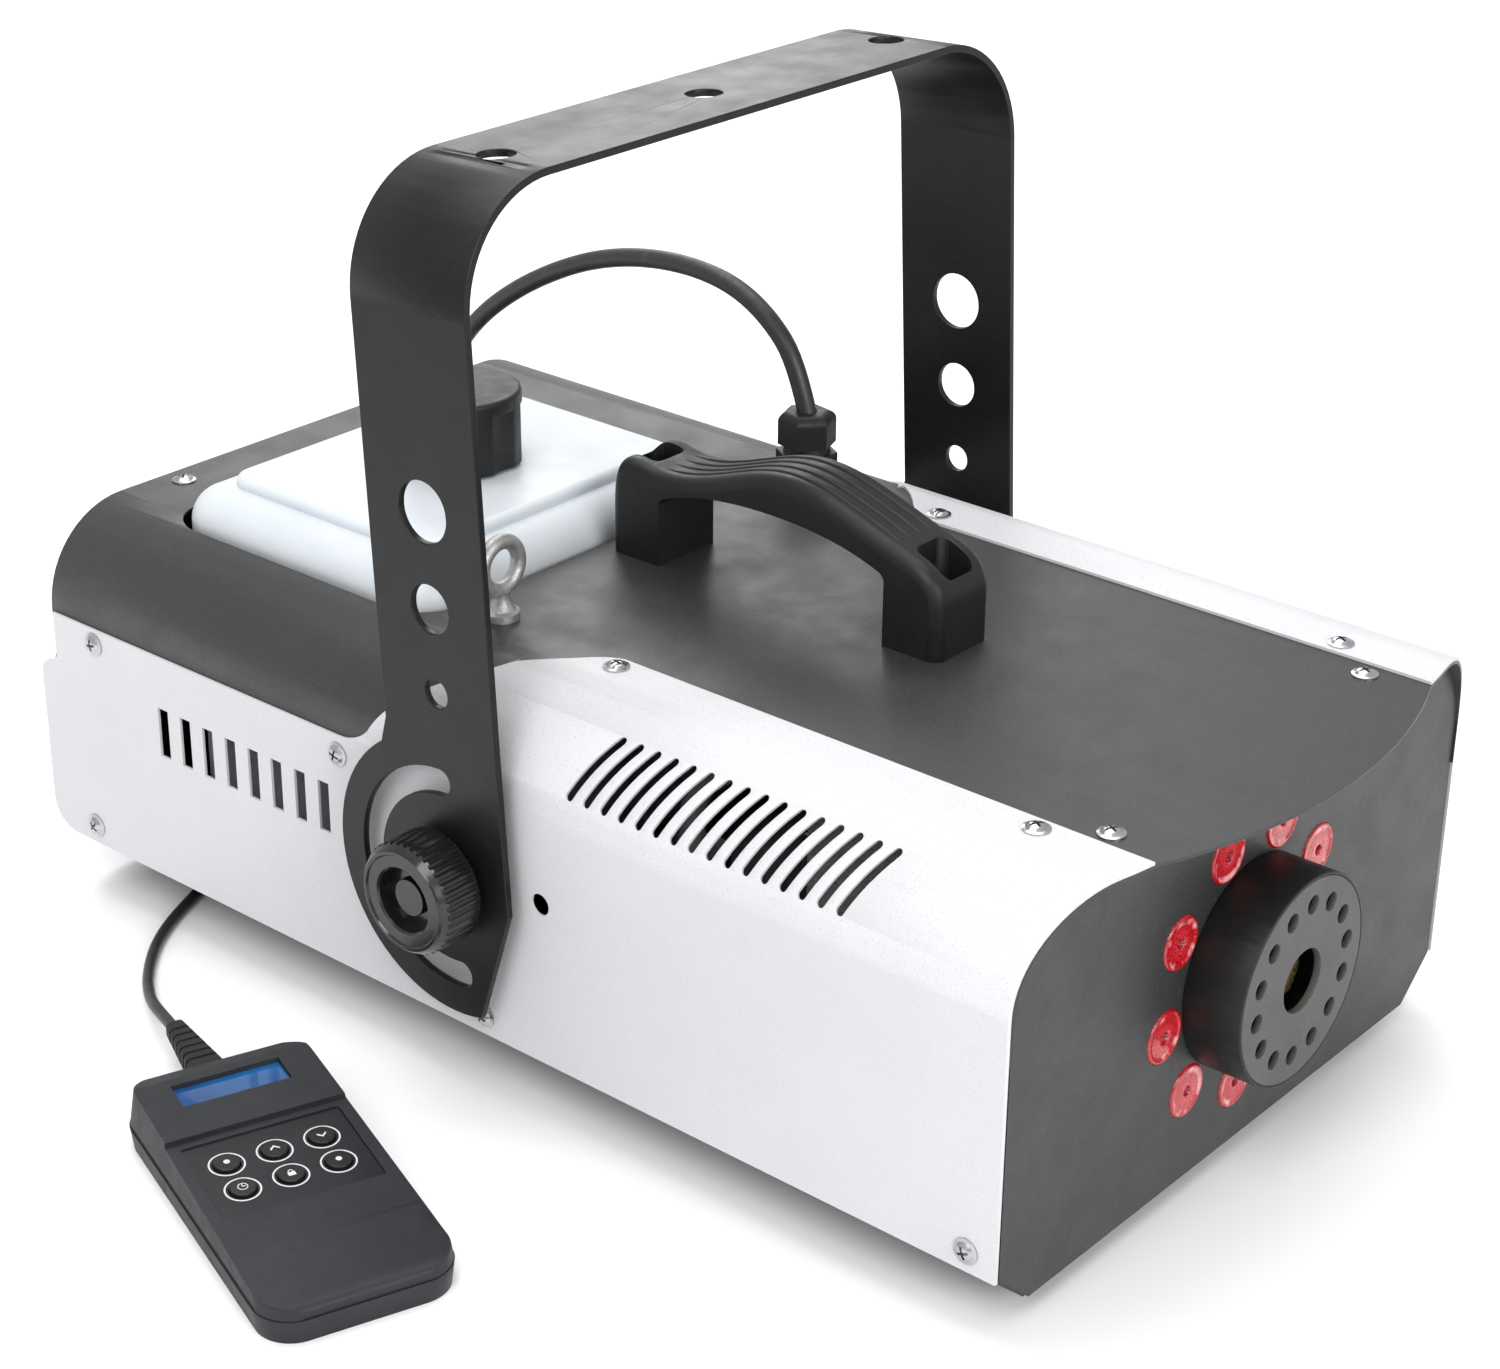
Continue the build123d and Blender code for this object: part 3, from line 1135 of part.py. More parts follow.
display_y = 45.0
head_z = remote_high - 1.5
with BuildPart() as case_top:
    with BuildSketch(Plane.YZ.offset(-remote_width / 2 + 0.6)):
        with BuildLine():
            Polyline((thumb_end + 0.6, remote_base_h + split_gap), (thumb_end + 0.6, remote_base_h + 2.5))
            Spline((thumb_end + 0.6, remote_base_h + 2.5), (thumb_end + 7, remote_low - 0.4),
                   (-33, remote_low + 0.9), tangents=((0.35, 1), (1, math.tan(math.radians(slope)))))
            Polyline((-33, remote_low + 0.9),
                     (head_step_y, keypad_z + (head_step_y - keypad_y) * math.tan(math.radians(slope)) + 0.4),
                     (head_step_y, head_z - 0.3), (cable_end - 10, remote_high),
                     (cable_end - 3, remote_high - 2.2), (cable_end - 0.6, remote_base_h + split_gap),
                     (thumb_end + 0.6, remote_base_h + split_gap))
        make_face()
    extrude(amount=remote_width - 1.2)
    with BuildSketch(Plane.XY.offset(remote_base_h + split_gap)):
        RectangleRounded(remote_width - 0.4, remote_length - 0.4, remote_corner_r)
    extrude(amount=remote_high, taper=9, mode=Mode.INTERSECT)
    with BuildSketch(Plane.XY.offset(remote_base_h)):
        RectangleRounded(remote_width - 10, remote_length - 12, 8)
    extrude(amount=2.4, mode=Mode.SUBTRACT)
    with BuildSketch(keypad_plane.offset(-1.2)):
        RectangleRounded(*keypad_size, 1)
    extrude(amount=5.2, mode=Mode.SUBTRACT)
    with BuildSketch(keypad_plane):
        with Locations(*button_spots()):
            Circle(button_r + button_gap)
    extrude(amount=-8, mode=Mode.SUBTRACT)
    with Locations((0, display_y, remote_high - 4)):
        Box(display_size[0] + 1, display_size[1] + 1, 10,
            align=(Align.CENTER, Align.CENTER, Align.MIN), mode=Mode.SUBTRACT)
save(remote_place * case_top.part, "remote_case_top")

with BuildPart() as remote_keypad:
    with BuildSketch(keypad_plane.offset(-1.1)):
        RectangleRounded(keypad_size[0] - 0.4, keypad_size[1] - 0.4, 0.8)
        with Locations(*button_spots()):
            Circle(button_r + button_gap, mode=Mode.SUBTRACT)
    extrude(amount=0.9)
save(remote_place * remote_keypad.part, "remote_keypad")

with BuildPart() as remote_display:
    with Locations((0, display_y, remote_high - 3.9)):
        Box(display_size[0] + 0.6, display_size[1] + 0.6, 2, align=(Align.CENTER, Align.CENTER, Align.MIN))
save(remote_place * remote_display.part, "remote_display")

with BuildPart() as remote_board:
    with Locations((0, 0, shell_t + 2)):
        Box(remote_width - 30, 96, 1.6, align=(Align.CENTER, Align.CENTER, Align.MIN))
        with Locations((0, 44, 1.6)):
            Box(30, 8, 2.2, align=(Align.CENTER, Align.CENTER, Align.MIN))
save(remote_place * remote_board.part, "remote_board")

button_names = ("menu", "up", "down", "timer", "lock", "manual")
for name, (bx, by) in zip(button_names, button_spots()):
    with BuildPart() as button:
        with BuildSketch(keypad_plane.offset(-4.2)):
            with Locations((bx, by)):
                Circle(button_r)
        extrude(amount=5.1)
        fillet(button.edges().sort_by(Axis.Z)[-1], 0.4)
    save(remote_place * button.part, "button_" + name)

boot_z = 10.5
boot_length = 34.0
with BuildPart() as remote_boot:
    with BuildSketch(Plane.XZ.offset(-cable_end + 2.5)):
        with Locations((0, boot_z)):
            RectangleRounded(13, 9, 2)
    with BuildSketch(Plane.XZ.offset(-cable_end - boot_length)):
        with Locations((0, boot_z)):
            RectangleRounded(6.4, 6.4, 2)
    loft()
    for i in range(6):
        with BuildSketch(Plane.XZ.offset(-cable_end - 7 - 4.2 * i)):
            with Locations((0, boot_z)):
                Rectangle(20, 20)
                RectangleRounded(10.4 - 0.75 * i, 6.9 - 0.28 * i, 1.6, mode=Mode.SUBTRACT)
        extrude(amount=-1.5, mode=Mode.SUBTRACT)
# cuts the boot's seat out of the case so that they only touch
boot_part = remote_boot.part - case_top.part - case_bottom.part
boot_solid = boot_part.solids().sort_by(SortBy.VOLUME)[-1]
save(remote_place * boot_solid, "remote_boot")

# --------------------------------------------------------- the controller's cord
lay_z = remote_cord_r + 0.1
boot_tip = remote_place.from_local_coords(Vector(0, cable_end + boot_length - 1, boot_z))
remote_coil_x, remote_coil_y = -30.0, 262.0
remote_coil_r = (12.0, 32.0)
remote_coil_h = 17.0
remote_route = [(boot_tip.X, boot_tip.Y, boot_tip.Z), (-172.2, 105.5, 8.6), (-164.5, 120.0, 4.6),
                (-151.5, 137.0, lay_z), (-132.5, 153.5, lay_z), (-106.0, 166.0, lay_z),
                (-80.0, 176.0, lay_z), (-50.0, 187.0, lay_z), (-23.0, 204.0, lay_z),
                (-4.0, 230.0, lay_z), (0.0, 260.0, lay_z)]
remote_tail = [(-30.0, 292.0, 14.4), (-47.0, 293.0, 16.0), (-60.0, 292.5, 25.0), (-65.0, 291.0, 40.0),
               (-61.5, 287.0, 55.0), (-54.0, 277.5, 66.0), (-50.5, 264.0, 69.5),
               (socket_x, remote_plug_end_y - 1, socket_z)]
remote_cord = group([cord_tube("remote cord", remote_route, remote_cord_r),
                     cord_tube("remote tail", remote_tail, remote_cord_r)])
save(remote_cord, "remote_cord")
save(coil(remote_coil_x, remote_coil_y, remote_coil_r, remote_coil_h), "remote_coil")
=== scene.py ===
import math

import bpy
from mathutils import Matrix, Vector


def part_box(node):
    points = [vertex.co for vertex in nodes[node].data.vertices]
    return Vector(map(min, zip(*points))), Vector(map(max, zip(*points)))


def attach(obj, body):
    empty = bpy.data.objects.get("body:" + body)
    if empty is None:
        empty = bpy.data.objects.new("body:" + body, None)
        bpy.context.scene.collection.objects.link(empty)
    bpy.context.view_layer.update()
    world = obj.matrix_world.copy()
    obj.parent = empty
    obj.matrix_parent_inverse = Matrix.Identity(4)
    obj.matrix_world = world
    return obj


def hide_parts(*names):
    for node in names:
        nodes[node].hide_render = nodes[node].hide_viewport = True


# Looks of a fog machine with a yoke bracket, a fluid tank, red lights and a wired
# hand controller.  Metres, +Z up, the nozzle faces -Y.
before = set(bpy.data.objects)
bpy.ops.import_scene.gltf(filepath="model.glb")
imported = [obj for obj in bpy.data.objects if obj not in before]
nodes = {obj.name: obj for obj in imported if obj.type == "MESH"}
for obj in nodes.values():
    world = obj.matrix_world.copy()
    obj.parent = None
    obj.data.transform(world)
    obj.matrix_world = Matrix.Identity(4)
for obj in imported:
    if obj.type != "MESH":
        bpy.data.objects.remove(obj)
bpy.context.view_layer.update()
MM = 0.001


# ------------------------------------------------------------------------ camera
LENS = 74.289                   # mm on a 36 mm sensor
CAMERA_AT = Vector((-0.72136, -0.61502, 0.55635))
CAMERA_BACK = Vector((-0.6890, -0.5814, 0.4327)).normalized()
CAMERA_ROLL = math.radians(0.5998)


def add_camera():
    """Places the camera from where it stands, the way it looks and its small roll."""
    right = Vector((0, 0, 1)).cross(CAMERA_BACK).normalized()
    up = CAMERA_BACK.cross(right)
    rolled_right = right * math.cos(CAMERA_ROLL) + up * math.sin(CAMERA_ROLL)
    rolled_up = CAMERA_BACK.cross(rolled_right)
    data = bpy.data.cameras.new("camera")
    data.lens = LENS
    data.sensor_width = 36.0
    data.clip_start = 0.01
    camera = bpy.data.objects.new("camera", data)
    bpy.context.scene.collection.objects.link(camera)
    turn = Matrix((rolled_right, rolled_up, CAMERA_BACK)).transposed().to_4x4()
    camera.matrix_world = Matrix.Translation(CAMERA_AT) @ turn
    bpy.context.scene.camera = camera


add_camera()


# --------------------------------------------------------------------- materials
class Nodes:
    """A material under construction, with short calls for the nodes it uses."""

    def __init__(self, name):
        self.material = bpy.data.materials.new(name)
        self.material.use_nodes = True
        self.tree = self.material.node_tree
        self.shader = self.tree.nodes["Principled BSDF"]
        self.place = self.tree.nodes.new("ShaderNodeTexCoord").outputs["Object"]

    def link(self, source, target):
        self.tree.links.new(source, target)

    def noise(self, scale, detail=3.0, stretch=None, roughness=0.55):
        """Noise at so many cells per metre, drawn out along an axis if asked."""
        node = self.tree.nodes.new("ShaderNodeTexNoise")
        node.inputs["Scale"].default_value = scale
        node.inputs["Detail"].default_value = detail
        node.inputs["Roughness"].default_value = roughness
        place = self.place
        if stretch:
            mapping = self.tree.nodes.new("ShaderNodeMapping")
            mapping.inputs["Scale"].default_value = stretch
            self.link(place, mapping.inputs["Vector"])
            place = mapping.outputs["Vector"]
        self.link(place, node.inputs["Vector"])
        return node.outputs["Fac"]

    def cells(self, scale, feature="F1"):
        node = self.tree.nodes.new("ShaderNodeTexVoronoi")
        node.feature = feature
        node.inputs["Scale"].default_value = scale
        self.link(self.place, node.inputs["Vector"])
        return node.outputs["Distance"]

    def span(self, source, low, high, to_low=0.0, to_high=1.0):
        """Maps low..high of a value to another range."""
        node = self.tree.nodes.new("ShaderNodeMapRange")
        for name, value in (("From Min", low), ("From Max", high),
                            ("To Min", to_low), ("To Max", to_high)):
            node.inputs[name].default_value = value
        self.link(source, node.inputs["Value"])
        return node.outputs["Result"]

    def mix(self, factor, a, b):
        """Mixes two colours; each is a colour or an output."""
        node = self.tree.nodes.new("ShaderNodeMix")
        node.data_type = "RGBA"
        for value, name in ((a, "A"), (b, "B")):
            socket = [s for s in node.inputs if s.name == name and s.type == "RGBA"][0]
            if hasattr(value, "is_linked"):
                self.link(value, socket)
            else:
                socket.default_value = (*value[:3], 1)
        self.link(factor, node.inputs["Factor"])
        return [s for s in node.outputs if s.type == "RGBA"][0]

    def bump(self, height, strength, distance, under=None):
        node = self.tree.nodes.new("ShaderNodeBump")
        node.inputs["Strength"].default_value = strength
        node.inputs["Distance"].default_value = distance
        self.link(height, node.inputs["Height"])
        if under:
            self.link(under, node.inputs["Normal"])
        return node.outputs["Normal"]

    def attribute(self, name):
        node = self.tree.nodes.new("ShaderNodeAttribute")
        node.attribute_name = name
        return node.outputs["Fac"]

    def set(self, **values):
        """Sets the shader's sockets: a number or colour is set, an output is linked."""
        for name, value in values.items():
            socket = self.shader.inputs[name.replace("_", " ")]
            if hasattr(value, "is_linked"):
                self.link(value, socket)
            elif socket.type == "RGBA" and len(value) == 3:
                socket.default_value = (*value, 1)
            else:
                socket.default_value = value
        return self.material


def powder_coat(name, colour, speck, roughness, peel=0.25, grain=1300, gloss=0.28):
    """Powder coat: orange peel, a fine grain and specks of a second colour."""
    n = Nodes(name)
    specks = n.span(n.noise(grain * 1.6, 2.0), 0.58, 0.70)
    clouds = n.span(n.noise(14, 3.0), 0.35, 0.65, 0.0, 0.35)
    base = n.mix(clouds, colour, [0.86 * c for c in colour])
    peeled = n.bump(n.noise(grain * 0.35, 2.0), peel, 0.00025)
    return n.set(Base_Color=n.mix(specks, base, speck),
                 Roughness=n.span(n.noise(60, 4.0), 0.3, 0.7, roughness - 0.06, roughness + 0.06),
                 Normal=n.bump(n.noise(grain, 3.0), 0.3, 0.0001, peeled),
                 Specular_IOR_Level=gloss)


def plastic(name, colour, roughness, grain=1500, depth=0.25, coat=0.0, gloss=0.3):
    """Moulded plastic: a fine spark-eroded grain and faint flow clouds."""
    n = Nodes(name)
    clouds = n.span(n.noise(35, 4.0), 0.3, 0.7)
    return n.set(Base_Color=n.mix(clouds, colour, [1.25 * c + 0.002 for c in colour]),
                 Roughness=n.span(n.noise(180, 3.0), 0.3, 0.7, roughness - 0.05, roughness + 0.07),
                 Normal=n.bump(n.noise(grain, 2.0), depth, 0.00012), Coat_Weight=coat,
                 Specular_IOR_Level=gloss)


def metal(name, colour, roughness, stretch=None, scratch=900, depth=0.12):
    """Bare metal with scratches or brushing and a slightly uneven sheen."""
    n = Nodes(name)
    marks = n.noise(scratch, 4.0, stretch)
    clouds = n.span(n.noise(120, 4.0), 0.3, 0.7)
    return n.set(Base_Color=n.mix(clouds, colour, [0.82 * c for c in colour]), Metallic=1.0,
                 Roughness=n.span(marks, 0.3, 0.7, roughness - 0.06, roughness + 0.1),
                 Normal=n.bump(marks, depth, 0.00008))


def galvanised(name):
    """Rough hot-dipped zinc: lumps, crystals and grey bloom."""
    n = Nodes(name)
    lumps = n.bump(n.noise(420, 3.0), 0.45, 0.0004)
    bloom = n.span(n.noise(260, 3.0), 0.3, 0.7)
    return n.set(Base_Color=n.mix(bloom, (0.36, 0.355, 0.34), (0.52, 0.52, 0.51)), Metallic=0.85,
                 Roughness=n.span(n.cells(900), 0.0, 0.8, 0.34, 0.6), Normal=lumps)


def milky_tank(name):
    """Translucent polyethylene, cloudy, with the mould's fine orange peel."""
    n = Nodes(name)
    clouds = n.span(n.noise(26, 4.0), 0.3, 0.7)
    material = n.set(Base_Color=n.mix(clouds, (0.58, 0.615, 0.65), (0.63, 0.66, 0.685)),
                     Roughness=n.span(n.noise(90, 3.0), 0.3, 0.7, 0.36, 0.5),
                     Normal=n.bump(n.noise(260, 2.0), 0.25, 0.0004), Subsurface_Weight=0.35,
                     Subsurface_Radius=(0.012, 0.014, 0.016), Subsurface_Scale=1.0,
                     Transmission_Weight=0.12, IOR=1.5)
    return material


def sheath(name, colour=(0.018, 0.018, 0.019)):
    """Extruded cord sheath: smooth, a little waxy, with dust and a faint fine grain."""
    n = Nodes(name)
    dust = n.span(n.noise(240, 5.0), 0.55, 0.75, 0.0, 0.5)
    return n.set(Base_Color=n.mix(dust, colour, (0.045, 0.045, 0.046)),
                 Roughness=n.span(n.noise(300, 3.0), 0.3, 0.7, 0.36, 0.5),
                 Normal=n.bump(n.noise(1500, 2.0), 0.12, 0.00008))


def circuit_board(name):
    """Green solder mask with pads and traces as small cells."""
    n = Nodes(name)
    pads = n.span(n.cells(330), 0.16, 0.2, 1.0, 0.0)
    return n.set(Base_Color=n.mix(pads, (0.01, 0.09, 0.035), (0.55, 0.5, 0.3)), Roughness=0.35,
                 Normal=n.bump(pads, 0.3, 0.0002))


def wool(name):
    n = Nodes(name)
    fibres = n.noise(800, 6.0, (1, 0.25, 1))
    return n.set(Base_Color=n.mix(n.span(fibres, 0.3, 0.7), (0.55, 0.53, 0.47), (0.86, 0.84, 0.78)),
                 Roughness=0.95, Normal=n.bump(fibres, 0.8, 0.0012))


def glowing_lens(name):
    """Red light behind a honeycomb lens; 'ring' runs from 0 in the middle to 1 at the rim."""
    n = Nodes(name)
    ring = n.attribute("ring")
    mesh = n.span(n.cells(900, "DISTANCE_TO_EDGE"), 0.03, 0.16)
    # painted highlight: noise patches that put pale pink glints into the lens emission
    highlight_patches = n.span(n.noise(170, 2.0), 0.50, 0.64)
    glow = n.mix(n.span(ring, 0.22, 0.6), (0.95, 0.07, 0.10), (0.62, 0.002, 0.008))
    cell = n.mix(mesh, (0.16, 0.0, 0.002), glow)
    painted_highlight = n.mix(highlight_patches, cell, (1.0, 0.55, 0.58))
    # the outer band of each lens carries this painted highlight in its emission
    cells_with_highlight = n.mix(n.span(ring, 0.66, 0.76), cell, painted_highlight)
    rim = n.mix(n.span(ring, 0.86, 0.94), cells_with_highlight, (0.34, 0.0, 0.004))
    hole = n.mix(n.span(ring, 0.18, 0.24, 1.0, 0.0), rim, (0.05, 0.0, 0.001))
    return n.set(Base_Color=(0.22, 0.002, 0.005), Roughness=0.16,
                 Emission_Color=hole, Emission_Strength=0.62,
                 Normal=n.bump(mesh, 0.5, 0.0003), Coat_Weight=0.6)


def display_glass(name):
    """Blue liquid-crystal panel: a paler back-light, unevenly washed."""
    n = Nodes(name)
    wash = n.span(n.noise(45, 2.0), 0.3, 0.7)
    back = n.mix(wash, (0.002, 0.030, 0.115), (0.005, 0.075, 0.22))
    return n.set(Base_Color=back, Roughness=0.16, Emission_Color=back, Emission_Strength=0.5,
                 Normal=n.bump(n.noise(700, 2.0), 0.03, 0.0001), Coat_Weight=0.7)


def plain_print(name, colour):
    n = Nodes(name)
    wear = n.span(n.noise(900, 4.0), 0.35, 0.65)
    return n.set(Base_Color=n.mix(wear, colour, [0.85 * c for c in colour]), Roughness=0.55,
                 Normal=n.bump(n.noise(1500, 2.0), 0.1, 0.00005))


WHITE_COAT = powder_coat("white_coat", (0.57, 0.575, 0.585), (0.41, 0.415, 0.43), 0.50, 0.18)
BLACK_COAT = powder_coat("black_coat", (0.024, 0.0235, 0.023), (0.052, 0.051, 0.050), 0.46, gloss=0.5)
YOKE_COAT = powder_coat("yoke_coat", (0.0055, 0.0055, 0.0062), (0.016, 0.016, 0.017), 0.38, 0.15)
PLATE_COAT = powder_coat("plate_coat", (0.072, 0.0715, 0.071), (0.11, 0.11, 0.109), 0.5, 0.3)
CHROME = metal("bright_zinc", (0.50, 0.50, 0.51), 0.24)
STEEL = metal("steel", (0.50, 0.50, 0.50), 0.34, (1, 1, 14))
ALUMINIUM = metal("aluminium", (0.66, 0.66, 0.67), 0.42)
BRASS = metal("brass", (0.76, 0.58, 0.26), 0.28)
EYE_ZINC = galvanised("galvanised")
GLOSS_BLACK = plastic("gloss_black", (0.005, 0.005, 0.0055), 0.2, 900, 0.05, 0.15, 0.5)
HANDLE_BLACK = plastic("handle_black", (0.007, 0.007, 0.0075), 0.44, 1300, 0.3)
BLACK_PLASTIC = plastic("black_plastic", (0.008, 0.008, 0.0085), 0.46)
CHARCOAL = plastic("charcoal", (0.0135, 0.0143, 0.0165), 0.5, 1700, 0.45)
KEYPAD = plastic("keypad", (0.0075, 0.0078, 0.0095), 0.36, 2200, 0.15)
BUTTON = plastic("button", (0.006, 0.006, 0.0065), 0.3, 1500, 0.1)
RUBBER = plastic("rubber", (0.014, 0.014, 0.014), 0.7, 800, 0.4)
HOSE = plastic("hose", (0.55, 0.57, 0.55), 0.25)
TANK = milky_tank("tank_plastic")
CORD = sheath("cord_sheath")
BOARD = circuit_board("circuit_board")
WOOL = wool("ceramic_wool")
LENS_RED = glowing_lens("glowing_lens")
LCD = display_glass("display")
PRINT_WHITE = plain_print("print_white", (0.62, 0.63, 0.65))
ROCKER_RED = plastic("rocker_red", (0.45, 0.01, 0.012), 0.25, 900, 0.05, 0.3)

FINISHES = {
    WHITE_COAT: ["side_panel_left", "side_panel_right"],
    BLACK_COAT: ["base_tray", "top_cover", "front_panel", "rear_panel"],
    YOKE_COAT: ["bracket"],
    PLATE_COAT: ["nozzle_plate"],
    CHROME: ["housing_screws", "handle_screws"],
    STEEL: ["guide_pins", "pivot_studs", "heater_stand", "thermostat", "pump", "transformer",
            "tank_cradle", "remote_socket"],
    ALUMINIUM: ["heater_block"],
    BRASS: ["nozzle_tube"],
    EYE_ZINC: ["eyebolt"],
    GLOSS_BLACK: ["knob_left", "knob_right"],
    HANDLE_BLACK: ["handle"],
    BLACK_PLASTIC: ["nozzle_shroud", "pivot_spacers", "tank_cap", "tank_socket", "cable_gland", "gland_nut",
                    "power_switch", "fuse_holder", "fuse_cap", "dmx_sockets", "remote_plug"],
    CHARCOAL: ["remote_case_top", "remote_case_bottom"],
    KEYPAD: ["remote_keypad"],
    BUTTON: [name for name in nodes if name.startswith("button_")],
    RUBBER: ["feet", "mains_plug", "remote_boot"],
    HOSE: ["fluid_hoses"],
    TANK: ["tank"],
    CORD: ["mains_cord", "mains_coil", "remote_cord", "remote_coil"],
    BOARD: ["control_board", "led_board", "remote_board"],
    WOOL: ["heater_insulation"],
    LENS_RED: ["led_lenses"],
    LCD: ["remote_display"],
    ROCKER_RED: ["switch_rocker"],
}
SOFT_EDGES = {                  # width of the small round on a node's edges, mm
    "side_panel_left": 0.25, "side_panel_right": 0.25, "bracket": 0.35, "top_cover": 0.25,
    "handle": 0.5, "tank_cap": 0.4, "remote_case_top": 0.6, "remote_case_bottom": 0.4,
    "remote_keypad": 0.15, "nozzle_shroud": 0.5, "nozzle_plate": 0.2, "cable_gland": 0.4,
    "remote_boot": 0.3, "mains_plug": 0.6,
}
for material, names in FINISHES.items():
    for name in names:
        mesh = nodes[name].data
        mesh.materials.clear()
        mesh.materials.append(material)
for name, width in SOFT_EDGES.items():
    weld = nodes[name].modifiers.new("weld", "WELD")
    weld.merge_threshold = 1e-6
    bevel = nodes[name].modifiers.new("soft_edges", "BEVEL")
    bevel.width = width * MM
    bevel.segments = 2
    bevel.limit_method = "ANGLE"
    bevel.angle_limit = math.radians(40)
    bevel.harden_normals = True


# ------------------------------------------------------------------- mesh helpers
def piece(name, verts, faces, material, body, smooth=True):
    """A mesh piece in the row frame that rides on a body."""
    mesh = bpy.data.meshes.new(name)
    mesh.from_pydata([tuple(v) for v in verts], [], faces)
    mesh.update()
    obj = bpy.data.objects.new(name, mesh)
    bpy.context.scene.collection.objects.link(obj)
    mesh.materials.append(material)
    for polygon in mesh.polygons:
        polygon.use_smooth = smooth
    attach(obj, body)
    return obj


def frame_of(origin, normal, along=(1, 0, 0)):
    """A matrix whose Z is the normal and whose X runs near a given direction."""
    z = Vector(normal).normalized()
    x = Vector(along) - z * Vector(along).dot(z)
    x.normalize()
    turn = Matrix((x, z.cross(x), z)).transposed().to_4x4()
    return Matrix.Translation(Vector(origin)) @ turn


def lathe(profile, steps, place):
    """Vertices and faces of a profile of (radius, height) turned about the place's Z."""
    verts, faces = [], []
    for radius, height in profile:
        for i in range(steps):
            angle = 2 * math.pi * i / steps
            verts.append(place @ Vector((radius * math.cos(angle), radius * math.sin(angle), height)))
    for j in range(len(profile) - 1):
        for i in range(steps):
            a, b = j * steps + i, j * steps + (i + 1) % steps
            faces.append((a, b, b + steps, a + steps))
    return verts, faces


def slab(outline, thickness, place):
    """Vertices and faces of a flat outline of (x, y) raised to a thickness."""
    count = len(outline)
    verts = [place @ Vector((x, y, z)) for z in (0, thickness) for x, y in outline]
    faces = [tuple(range(count - 1, -1, -1)), tuple(range(count, 2 * count))]
    faces += [(i, (i + 1) % count, count + (i + 1) % count, count + i) for i in range(count)]
    return verts, faces


def join(parts):
    """Several (verts, faces) as one."""
    verts, faces = [], []
    for part_verts, part_faces in parts:
        offset = len(verts)
        verts += part_verts
        faces += [tuple(i + offset for i in face) for face in part_faces]
    return verts, faces


def ring_band(inner, outer, thickness, place, steps=48):
    """A flat ring as a closed turned shape."""
    return lathe([(inner, 0), (outer, 0), (outer, thickness), (inner, thickness), (inner, 0)], steps, place)


# -------------------------------------------------------------------------- cords
MAINS_R = 3.5 * MM
REMOTE_R = 2.0 * MM
MAINS_LAY = 3.6
REMOTE_LAY = 2.1


def coil_points(centre, cells, shift_steps, exit_angle, steps=16):
    """Turns of a neat coil: each cell is a (radius, height) that one turn keeps.

    It starts at angle 0, and each move to the next cell begins earlier in its turn
    than the last one did, so that no turn meets another.
    """
    swell = 1 / math.cos(math.pi / steps)       # the spline runs inside its points
    last = (len(cells) - 1) * (steps - shift_steps)
    exit_step = round(exit_angle / 360 * steps)
    end = last + (exit_step - last) % steps
    while end < last + steps // 2:
        end += steps
    points = []
    for step in range(end + 1):
        done = min(step // (steps - shift_steps), len(cells) - 1)
        radius, height = cells[done]
        begun = done * (steps - shift_steps)
        if done and step < begun + shift_steps:
            before = cells[done - 1]
            part = 0.5 - 0.5 * math.cos(math.pi * (step - begun) / shift_steps)
            radius = before[0] + (radius - before[0]) * part
            height = before[1] + (height - before[1]) * part
        angle = 2 * math.pi * step / steps
        points.append((centre[0] + swell * radius * math.cos(angle),
                       centre[1] + swell * radius * math.sin(angle), height))
    return points


def layered(radii, layers, first_height, pitch):
    """Cells of a coil wound in on one layer and out on the next."""
    cells = []
    for layer in range(layers):
        row = radii if layer % 2 == 0 else radii[::-1]
        cells += [(radius, first_height + pitch * layer) for radius in row]
    return cells


def cord_spline(name, points_mm, radius):
    """One smooth spline with the route's points, as a round cord."""
    curve = bpy.data.curves.new(name, "CURVE")
    curve.dimensions = "3D"
    spline = curve.splines.new("NURBS")
    spline.points.add(len(points_mm) - 1)
    for point, (x, y, z) in zip(spline.points, points_mm):
        point.co = (x * MM, y * MM, z * MM, 1)
    spline.order_u = 3
    spline.use_endpoint_u = True
    spline.resolution_u = 6
    curve.bevel_depth = radius
    curve.bevel_resolution = 5
    curve.use_fill_caps = True
    curve.materials.append(CORD)
    obj = bpy.data.objects.new(name, curve)
    bpy.context.scene.collection.objects.link(obj)
    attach(obj, "housing")
    return obj


gland_exit = (82.0, 37.5, 167.0)
mains_route = [
    gland_exit, (82.0, 43.0, 185.0), (82.4, 55.5, 198.0), (82.8, 72.0, 206.5),
    (83.2, 93.0, 209.3), (83.6, 117.0, 207.5), (84.0, 141.0, 201.5), (84.5, 164.0, 191.5),
    (85.0, 186.5, 178.5), (85.6, 207.0, 162.5), (87.0, 224.0, 142.0), (90.0, 235.5, 117.5),
    (95.0, 242.0, 90.0), (101.0, 245.5, 63.5), (108.0, 249.5, 41.0), (116.5, 256.0, 22.5),
    (126.0, 266.0, 10.5), (134.5, 279.5, 4.6), (140.0, 292.0, MAINS_LAY)]
mains_tail = [(90.0, 339.0, 24.2), (75.0, 342.5, 21.0), (62.0, 344.0, 19.0)]
mains_coil = coil_points((105.0, 302.0), layered([36.0, 29.0], 4, MAINS_LAY, 7.05), 3, 90)
mains = cord_spline("mains_lead", mains_route + mains_coil + mains_tail, MAINS_R)
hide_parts("mains_cord", "mains_coil")

